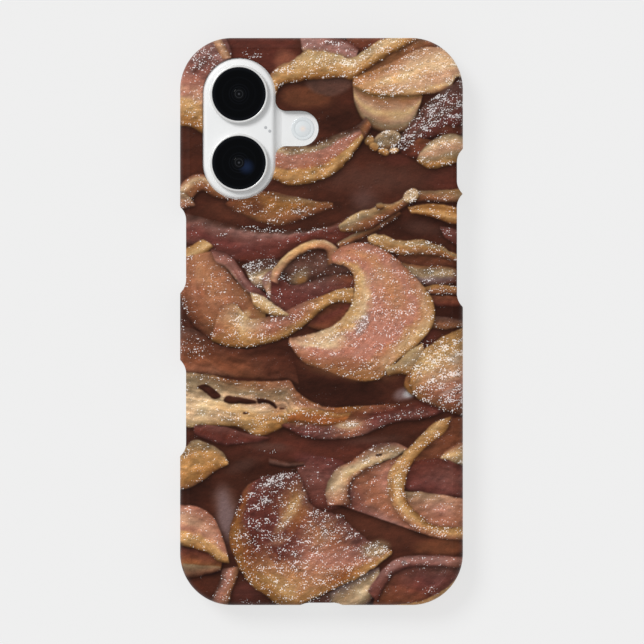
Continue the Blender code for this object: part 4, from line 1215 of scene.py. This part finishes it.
def build_panels(finish, picture):
    """The flat back: closed slabs, side by side, with the rounded lens opening in the last."""
    lens_opening = case_loops(PANEL_STEP)[1]
    levels = (-CORE_Y, *PANEL_BREAKS, CORE_Y)
    for n, (low, high) in enumerate(zip(levels, levels[1:])):
        foot = CORE_CORNER if n == 0 else 0
        head = CORE_CORNER if n == len(PANEL_BREAKS) else 0
        corners = [(-CORE_X, low, foot), (CORE_X, low, foot), (CORE_X, high, head), (-CORE_X, high, head)]
        loops = [rounded_loop(corners, FINE_STEP)]
        holes = [lens_opening] if head else []
        lattice_points = grid_points(CORE_X, CORE_Y, PANEL_STEP)
        inside = (lattice_points[:, 1] > low) & (lattice_points[:, 1] < high)
        body = clear_of(lattice_points[inside], loops, 0.5 * PANEL_STEP)
        if holes:
            loops += holes
            body = body[loop_distance(body, holes, 1.0) >= RIM_ROUND + 0.45 * PANEL_STEP]
            body = enclosed_points(body, loops)
            body = np.vstack([offset_loops(holes, False), body])
        flat, tris, edges = fill_loops(loops, body)
        z = TOP_Z - (rim_dip(flat, holes) if holes else np.zeros(len(flat)))
        outer = np.column_stack([flat, z])
        bare, tris_in, _ = fill_loops(loops, np.zeros((0, 2)))
        inner = np.column_stack([bare, np.full(len(bare), PANEL_UNDER)])
        panel = printed_piece(f"printed_back_{n + 1}", finish, outer, tris, inner, tris_in, edges)
        put_print(panel, picture, flat[:, 0], flat[:, 1], inner)


def put_print(piece, picture, x, y, inner):
    """Stores the picture's colour, its glints and the place in the picture at each point."""
    colour = picture.at(x, y, picture.colour)
    glint = picture.at(x, y, picture.glint)
    display = np.clip(np.vstack([colour, np.full((len(inner), 3), 0.9)]), 0, 1)
    tint = np.maximum(to_linear(display) - SHEEN, 0.002)
    store(piece, "print", "FLOAT_COLOR", np.column_stack([tint, np.ones(len(tint))]))
    store(piece, "glint", "FLOAT", np.concatenate([glint, np.zeros(len(inner))]))
    store(piece, "plan", "FLOAT_VECTOR", np.vstack([np.column_stack([x, y, 0 * x]), inner]))


def case_ring(depth, step):
    """A ring of points at one distance outside the flat back's outline."""
    x, y, r = CORE_X + depth, CORE_Y + depth, CORE_CORNER + depth
    return rounded_loop([(-x, -y, r), (x, -y, r), (x, y, r), (-x, y, r)], step)


def store(obj, name, kind, values):
    """Puts one value for each vertex into a named attribute."""
    attribute = obj.data.attributes.new(name, kind, "POINT")
    field = {"FLOAT": "value", "FLOAT_VECTOR": "vector", "FLOAT_COLOR": "color"}[kind]
    attribute.data.foreach_set(field, np.asarray(values, np.float32).ravel())


def dressed(node, name, finish, body="device"):
    """A merged, smooth-shaded copy of a CAD node in its place."""
    mesh = NODES[node].data.copy()
    bm = bmesh.new()
    bm.from_mesh(mesh)
    bmesh.ops.remove_doubles(bm, verts=bm.verts, dist=1e-6)
    bm.to_mesh(mesh)
    bm.free()
    mesh.name = name
    shade(mesh, 32)
    mesh.materials.clear()
    mesh.materials.append(finish)
    obj = add_object(name, mesh)
    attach(obj, body)
    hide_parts(node)


# Finishes

class Field:
    """A value worked out at every point of a surface. Arithmetic on it adds Math nodes."""

    def __init__(self, finish, socket):
        self.finish, self.socket = finish, socket

    def __add__(self, other):
        return self.finish.math("ADD", self, other)

    def __sub__(self, other):
        return self.finish.math("SUBTRACT", self, other)

    def __rsub__(self, other):
        return self.finish.math("SUBTRACT", other, self)

    def __mul__(self, other):
        return self.finish.math("MULTIPLY", self, other)

    __radd__, __rmul__ = __add__, __mul__


class Finish:
    """A material whose nodes are added one by one."""

    def __init__(self, name, **constants):
        self.material = bpy.data.materials.new(name)
        self.material.use_nodes = True
        self.tree = self.material.node_tree
        self.shader = self.tree.nodes["Principled BSDF"]
        for key, value in constants.items():
            socket = key.replace("_", " ").title().replace("Ior", "IOR")
            self.shader.inputs[socket].default_value = value

    def plug(self, socket, value):
        if isinstance(value, Field):
            self.tree.links.new(value.socket, socket)
        else:
            socket.default_value = value

    def node(self, kind, settings=None, sockets=None, output=0):
        made = self.tree.nodes.new("ShaderNode" + kind)
        for key, value in (settings or {}).items():
            setattr(made, key, value)
        for key, value in (sockets or {}).items():
            self.plug(made.inputs[key], value)
        return Field(self, made.outputs[output])

    def math(self, operation, first, second=0.0):
        return self.node("Math", {"operation": operation}, {0: first, 1: second})

    def mix(self, amount, first, second, blend="MIX"):
        settings = {"data_type": "RGBA", "blend_type": blend}
        return self.node("Mix", settings, {0: amount, 6: first, 7: second}, 2)

    def span(self, value, low, high, to_low=0.0, to_high=1.0):
        """Maps low..high smoothly to to_low..to_high, and holds the ends."""
        sockets = {0: value, 1: low, 2: high, 3: to_low, 4: to_high}
        return self.node("MapRange", {"interpolation_type": "SMOOTHSTEP"}, sockets)

    def ring(self, away, radius, width, strength):
        """A soft ring: full strength at the radius, and nothing a width away from it."""
        return self.span(self.math("ABSOLUTE", away - radius), 0.0, width, strength, 0.0)

    def place(self):
        return self.node("TexCoord", output=3)

    def noise(self, place, scale, detail=2.0, roughness=0.5):
        sockets = {"Vector": place, "Scale": scale, "Detail": detail, "Roughness": roughness}
        return self.node("TexNoise", None, sockets)

    def radius(self, x, y):
        """Distance in millimetres from an upright axis at (x, y)."""
        shift = self.node("Mapping", None, {"Vector": self.place(), "Location": (-x * MM, -y * MM, 0)})
        flat = self.node("VectorMath", {"operation": "MULTIPLY"}, {0: shift, 1: (1 / MM, 1 / MM, 0)})
        return self.node("VectorMath", {"operation": "LENGTH"}, {0: flat}, 1)

    def bump(self, height, strength, distance):
        return self.node("Bump", None, {"Strength": strength, "Distance": distance, "Height": height})

    def set(self, **fields):
        for key, value in fields.items():
            self.plug(self.shader.inputs[key.replace("_", " ").title()], value)
        return self


def linear(r, g, b):
    """A display colour of 0 to 255 as a shader's colour."""
    return (*to_linear(np.array([r, g, b]) / 255), 1.0)


# Half the step over which the print's crinkle is compared, towards its light and away, in mm
LIT_STEPS = (-0.06, 0.16, 0.0), (0.06, -0.16, 0.0)


def printed_plastic():
    """Glossy plastic with the print in its surface: painted colour under a crinkle that is
    light where it faces up and dark where it faces down, and the grease's glints, let in
    where the crinkle faces the light, the more the stronger the glint field is."""
    f = Finish("printed_plastic", roughness=0.42, specular_ior_level=0.1)
    colour = f.node("Attribute", {"attribute_name": "print"}, output=0)
    amount = f.node("Attribute", {"attribute_name": "glint"}, output=2)
    plan = f.node("Attribute", {"attribute_name": "plan"}, output=1)
    # the crinkle's slope: how much more a noise is on a point's lit side than on its dark side
    places = [f.node("VectorMath", {"operation": "ADD"}, {0: plan, 1: step}) for step in LIT_STEPS]
    slope, fine = (
        f.noise(places[0], scale, detail, 0.62) - f.noise(places[1], scale, detail, 0.62)
        for scale, detail in ((0.85, 4.0), (2.9, 1.0))
    )
    lit = slope * (amount * 2.2 + 0.6) + fine * (amount * 0.7 + 0.3) + 1.0
    # a grain that varies red least and blue most, so that dark flecks are warm
    grain = f.noise(plan, 1.5, 4.0, 0.75)
    channels = (0.5, 0.75), (0.56, 0.72), (0.6, 0.7)
    flecks = {n: (grain * gain + base) * lit for n, (gain, base) in enumerate(channels)}
    bright = f.mix(1.0, colour, f.node("CombineColor", None, flecks), "MULTIPLY")
    shine = f.mix(0.72, f.mix(1.0, colour, (2.2, 2.2, 2.2, 1.0), "MULTIPLY"), (0.98, 0.98, 0.98, 1.0))
    # a glint shows where slope, a round noise and the glint field add up to more than 0.3
    drift = f.span(f.noise(plan, 0.6, 2.0, 0.6), 0.36, 0.64, -0.12, 0.08)
    point = f.noise(plan, 2.5, 0.0) - 0.5
    facing = f.span(slope * 0.6 + fine * 0.35 + point * 0.95 + drift + amount * 0.25, 0.275, 0.32)
    glare = facing * f.span(amount, 0.01, 0.16)
    power = f.span(f.noise(plan, 1.7, 2.0, 0.6), 0.35, 0.65, 0.65, 1.0)
    bright = f.mix(glare * power, bright, shine)
    return f.set(base_color=bright).material


def white_metal():
    """Satin anodised metal with a very fine grain."""
    f = Finish("white_anodised_metal", metallic=0.35, roughness=0.34)
    place = f.place()
    fine = f.noise(place, 9000, 2.0)
    tone = f.noise(place, 60, 2.0)
    f.set(base_color=f.mix(tone, linear(226, 226, 225), linear(236, 236, 235)))
    return f.set(roughness=fine * 0.1 + 0.29, normal=f.bump(fine, 0.05, 0.00002)).material


def white_glass():
    """White back glass: an even, faintly cool white under a clear surface."""
    f = Finish("white_back_glass", roughness=0.16, coat_weight=0.4, coat_roughness=0.08)
    tone = f.noise(f.place(), 40, 2.0)
    return f.set(base_color=f.mix(tone, linear(238, 239, 239), linear(244, 245, 245))).material


def black_glass():
    """Display glass: nearly black, with the faintest change in its polish."""
    f = Finish("black_glass", roughness=0.06, specular_ior_level=0.5)
    tone = f.noise(f.place(), 300, 2.0)
    f.set(base_color=f.mix(tone, linear(9, 10, 12), linear(13, 14, 17)))
    return f.set(roughness=tone * 0.04 + 0.04).material


def lamp_window():
    """Frosted white plastic with a faint grey ring and a warm middle."""
    f = Finish("lamp_window", roughness=0.3, coat_weight=0.3)
    away = f.radius(LAMP_X, LENS_MIDDLE_Y)
    tone = f.noise(f.place(), 400, 2.0)
    rings = f.ring(away, 2.15, 0.25, 0.8) + f.ring(away, 3.0, 0.16, 0.5)
    base = f.mix(rings * 0.6, linear(226, 231, 233), linear(196, 203, 206))
    base = f.mix(f.span(away, 0.2, 1.2, 0.55, 0.0), base, linear(250, 226, 214))
    middle = f.span(away, 0.0, 0.35, 0.6, 0.0) * (tone * 0.4 + 0.8)
    return f.set(base_color=f.mix(middle, base, linear(255, 240, 205))).material


def grille():
    """Fine grey mesh over a microphone."""
    f = Finish("microphone_grille", roughness=0.5)
    dots = f.node("TexVoronoi", None, {"Vector": f.place(), "Scale": 7000.0, "Randomness": 0.1}, 0)
    tone = f.span(dots, 0.2, 0.5)
    return f.set(base_color=f.mix(tone, linear(150, 152, 156), linear(186, 188, 191))).material


def dark_plastic():
    """Matt black moulding with a fine grain."""
    f = Finish("dark_plastic", roughness=0.5)
    grain = f.noise(f.place(), 5000, 3.0)
    f.set(base_color=f.mix(grain, linear(30, 30, 32), linear(42, 42, 45)))
    return f.set(normal=f.bump(grain, 0.2, 0.00003)).material


def steel():
    """Bare steel of the end screws."""
    f = Finish("steel", metallic=1.0, roughness=0.3)
    grain = f.noise(f.place(), 4000, 2.0)
    f.set(base_color=f.mix(grain, linear(170, 170, 172), linear(196, 196, 198)))
    return f.set(roughness=grain * 0.15 + 0.22).material


def turned(name, profile, x, y, finish, spread=(0.0, 0.0), steps=24, closed=False):
    """A profile of (radius, height) pairs carried round a rectangle of half sizes spread: each
    quarter of the turn is centred on its own corner, so straight runs join the quarters. A
    closed profile's last point joins its first, as in a ring."""
    profile = np.array(profile, float)
    angle = np.linspace(0, math.pi / 2, steps + 1)
    turn = np.concatenate([angle + k * math.pi / 2 for k in range(4)])
    sign_x = np.repeat([1, -1, -1, 1], steps + 1)
    sign_y = np.repeat([1, 1, -1, -1], steps + 1)
    px = x + sign_x * spread[0] + profile[:, :1] * np.cos(turn)
    py = y + sign_y * spread[1] + profile[:, :1] * np.sin(turn)
    points = np.stack([px, py, profile[:, 1:] + 0 * px], -1).reshape(-1, 3)
    rows, columns = len(profile), len(turn)
    i, j = np.meshgrid(np.arange(rows if closed else rows - 1), np.arange(columns), indexing="ij")
    here, up, along = i * columns, (i + 1) % rows * columns, (j + 1) % columns
    quads = np.stack([here + j, here + along, up + along, up + j], -1).reshape(-1, 4)
    obj = new_piece(name, points, quads.tolist(), finish)
    bm = bmesh.new()
    bm.from_mesh(obj.data)
    bmesh.ops.remove_doubles(bm, verts=bm.verts, dist=1e-7)
    bmesh.ops.dissolve_degenerate(bm, dist=1e-8, edges=bm.edges)
    bmesh.ops.holes_fill(bm, edges=bm.edges, sides=0)
    bmesh.ops.recalc_face_normals(bm, faces=bm.faces)
    bm.to_mesh(obj.data)
    bm.free()
    shade(obj.data, 38)
    return obj


def round_off(x, z, radius, start, end, count=6):
    """Points of a small arc in a profile, between two angles in degrees."""
    angle = np.radians(np.linspace(start, end, count))
    return [(x + radius * math.cos(a), z + radius * math.sin(a)) for a in angle]


ISLAND_TOP = 10.65
GLASS_TOP = 8.75
LENS_TOP = 12.25
MICROPHONES = ((-14.9, 51.75), (-13.8, 50.8))


def build_back_glass(glass, mesh):
    """The white glass plate, the camera island that swells out of it, and the microphones."""
    plate = [(0, 7.85), (9.8, 7.85), (10.4, 7.85), *round_off(10.4, 8.25, 0.4, -90, 0)]
    plate += [*round_off(10.4, 8.35, 0.4, 0, 90), (9.8, GLASS_TOP), (0, GLASS_TOP)]
    body = turned("back_glass_plate", plate, 0, 0, glass, (24.4, 62.4))
    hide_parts("back_glass")
    heights = [1.9, 1.9, 1.88, 1.76, 1.5, 1.16, 0.86, 0.52, 0.25, 0.08, 0.01]
    radii = [0, 8.3, 8.6, 9.0, 9.3, 9.55, 9.8, 10.2, 10.7, 11.1, 11.36]
    island = [(r, GLASS_TOP + h) for r, h in zip(radii, heights)]
    island += [(11.36, GLASS_TOP - 0.3), (0, GLASS_TOP - 0.3)]
    reach = (0, (LENS_YS["upper"] - LENS_YS["lower"]) / 2)
    turned("camera_island", island, LENS_X, LENS_MIDDLE_Y, glass, reach, 32)
    for n, (x, y) in enumerate(MICROPHONES):
        cap = [(0, -0.2), (0.42, -0.2), (0.42, 0.01), (0.36, 0.025), (0, 0.025)]
        cap = [(r, ISLAND_TOP + h) for r, h in cap]
        turned(f"microphone_{n + 1}", cap, x, y, mesh, steps=8)


def build_lenses(metal, glass, core):
    """Each lens: a flat metal rim with soft edges, dark cover glass, and the lens's own bulge
    in the middle."""
    for word, y in LENS_YS.items():
        ring = [(6.6, ISLAND_TOP - 0.3), (7.75, ISLAND_TOP - 0.3), (7.75, LENS_TOP - 0.32)]
        ring += [*round_off(7.45, LENS_TOP - 0.3, 0.3, 10, 90), (7.32, LENS_TOP)]
        ring += round_off(7.3, LENS_TOP - 0.14, 0.14, 90, 180)
        ring += [(7.15, LENS_TOP - 0.5), (6.6, LENS_TOP - 0.9)]
        name = f"{word}_lens_ring"
        piece = turned(name, ring, LENS_X, y, metal, steps=32, closed=True)
        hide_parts(f"lens_ring_{word}")
        cover = [(0, 1.0), (6.6, 1.0), (7.14, 0.6), (7.14, 0.26), (7.0, 0.2), (6.6, 0.19), (0, 0.19)]
        cover = [(r, LENS_TOP - h) for r, h in cover]
        piece = turned(f"{word}_lens_cover", cover, LENS_X, y, glass[word], steps=32)
        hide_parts(f"lens_glass_{word}")
        angles = np.radians([8, 20, 35, 50, 65, 80])
        bulge = [(0, LENS_TOP - 0.4), (1.5, LENS_TOP - 0.4), (1.5, LENS_TOP - 0.2)]
        bulge += [(1.5 * math.cos(a), LENS_TOP - 0.2 + 0.12 * math.sin(a)) for a in angles]
        bulge += [(0, LENS_TOP - 0.08)]
        turned(f"{word}_lens_eye", bulge, LENS_X, y, core[word], steps=12)


def lens_cover(word):
    """Black cover glass with the faint rings of the barrel beneath it, each at its distance
    from the lens's axis, and in the lower one a dim blue reflection."""
    f = Finish(f"{word}_lens_black", roughness=0.12, specular_ior_level=0.06)
    away = f.radius(LENS_X, LENS_YS[word])
    tone = f.noise(f.place(), 250, 2.0)
    rings = f.ring(away, 1.9, 0.16, 0.7) + f.ring(away, 2.6, 0.2, 0.4)
    rings = rings + f.span(away, 6.0, 7.0, 0.0, 0.5) + f.ring(away, 4.4, 0.3, 0.16)
    base = f.mix(rings * (tone * 0.6 + 0.5), linear(4, 5, 7), linear(24, 27, 33))
    if word == "lower":
        glow = f.span(f.radius(LENS_X + 2.0, LENS_YS[word] - 1.1), 0.0, 2.6, 0.8, 0.0)
        base = f.mix(glow, base, linear(28, 40, 66))
    return f.set(base_color=base).material


def lens_eye(word):
    """The small bulge in a lens's middle, with a grey point and a ring in its depth."""
    f = Finish(f"{word}_lens_eye", roughness=0.1, specular_ior_level=0.12)
    away = f.radius(LENS_X, LENS_YS[word])
    centre = f.span(away, 0.0, 0.42, 1.0, 0.0) + f.ring(away, 1.0, 0.14, 0.35)
    return f.set(base_color=f.mix(centre * 0.6, linear(5, 6, 9), linear(92, 94, 100))).material


def build_lamp(finish):
    """The lamp's round window, level with the glass, with a fine groove round it."""
    disc = [(0, -0.45), (3.1, -0.45), (3.1, 0.02), (3.02, 0.08), (2.9, 0.09)]
    disc += [(2.3, 0.09), (2.15, 0.04), (2.0, 0.09), (0, 0.09)]
    disc = [(r, GLASS_TOP + h) for r, h in disc]
    piece = turned("lamp_cover", disc, LAMP_X, LENS_MIDDLE_Y, finish, steps=16)
    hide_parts("lamp_window")


METAL = white_metal()
GLASS = white_glass()
DARK = dark_plastic()
PRINT = printed_plastic()
PICTURE = paint_bacon()
build_case(PRINT, PICTURE)
build_panels(PRINT, PICTURE)
dressed("phone_body", "phone_band", METAL)
build_back_glass(GLASS, grille())
build_lenses(METAL, {w: lens_cover(w) for w in LENS_YS}, {w: lens_eye(w) for w in LENS_YS})
build_lamp(lamp_window())
dressed("display_glass", "display_cover", black_glass())
dressed("port_tongue", "port_contacts", DARK)
STEEL = steel()
for word in ("left", "right"):
    dressed(f"end_screw_{word}", f"{word}_screw", STEEL)
for word in ("action", "volume_up", "volume_down", "power", "shutter"):
    dressed(f"{word}_button", f"{word}_cap", METAL, f"{word}_key")


# Floor, light and camera

FLOOR_REACH = 3000.0
FLOOR_GAP = 0.02


def floor_finish():
    """Pale backdrop that glows a little by itself, so that shadows on it stay faint."""
    f = Finish("studio_floor", roughness=0.9, specular_ior_level=0.0, emission_strength=1.0)
    tone = f.noise(f.place(), 3, 2.0)
    f.set(emission_color=(0.69, 0.69, 0.69, 1.0))
    return f.set(base_color=f.mix(tone, (0.178, 0.178, 0.178, 1), (0.182, 0.182, 0.182, 1))).material


def add_floor():
    """A wide level floor, a hair under the device so that the two don't touch."""
    x, y = np.meshgrid([-FLOOR_REACH, FLOOR_REACH], [-FLOOR_REACH, FLOOR_REACH])
    corners = np.stack([x, y, 0 * x - FLOOR_GAP], -1).reshape(-1, 3) * MM
    mesh = bpy.data.meshes.new("floor")
    mesh.from_pydata(corners.tolist(), [], [(0, 1, 3, 2)])
    mesh.materials.append(floor_finish())
    add_object("floor", mesh)


def distant_light(name, towards, strength, spread):
    """A far soft light. Its spread in degrees sets how soft the shadows are."""
    light = bpy.data.lights.new(name, "SUN")
    light.energy = strength
    light.angle = math.radians(spread)
    obj = add_object(name, light)
    obj.rotation_mode = "QUATERNION"
    obj.rotation_quaternion = Vector(towards).to_track_quat("-Z", "Y")


def set_world(strength):
    """Even white light from all round."""
    world = bpy.data.worlds.new("studio")
    world.use_nodes = True
    background = world.node_tree.nodes["Background"]
    background.inputs["Color"].default_value = (1.0, 1.0, 1.0, 1.0)
    background.inputs["Strength"].default_value = strength
    bpy.context.scene.world = world


PIXELS_PER_MM = 3.74
PICTURE_WIDTH = 644 / PIXELS_PER_MM * MM
CAMERA_DISTANCE = 1.5


def add_camera():
    """Straight above the back. The long lens frames the picture's width at the case's widest."""
    camera = bpy.data.cameras.new("camera")
    camera.lens = camera.sensor_width * CAMERA_DISTANCE / PICTURE_WIDTH
    camera.clip_start, camera.clip_end = 0.05, 20
    obj = add_object("camera", camera)
    half_pixel = 0.5 / PIXELS_PER_MM * MM
    obj.location = (half_pixel, -half_pixel, (TOP_Z - EDGE) * MM + CAMERA_DISTANCE)
    bpy.context.scene.camera = obj


add_floor()
set_world(0.5)
distant_light("key", (0.62, -0.62, -0.95), 1.96, 24)
add_camera()
bpy.context.scene.view_settings.view_transform = "Standard"
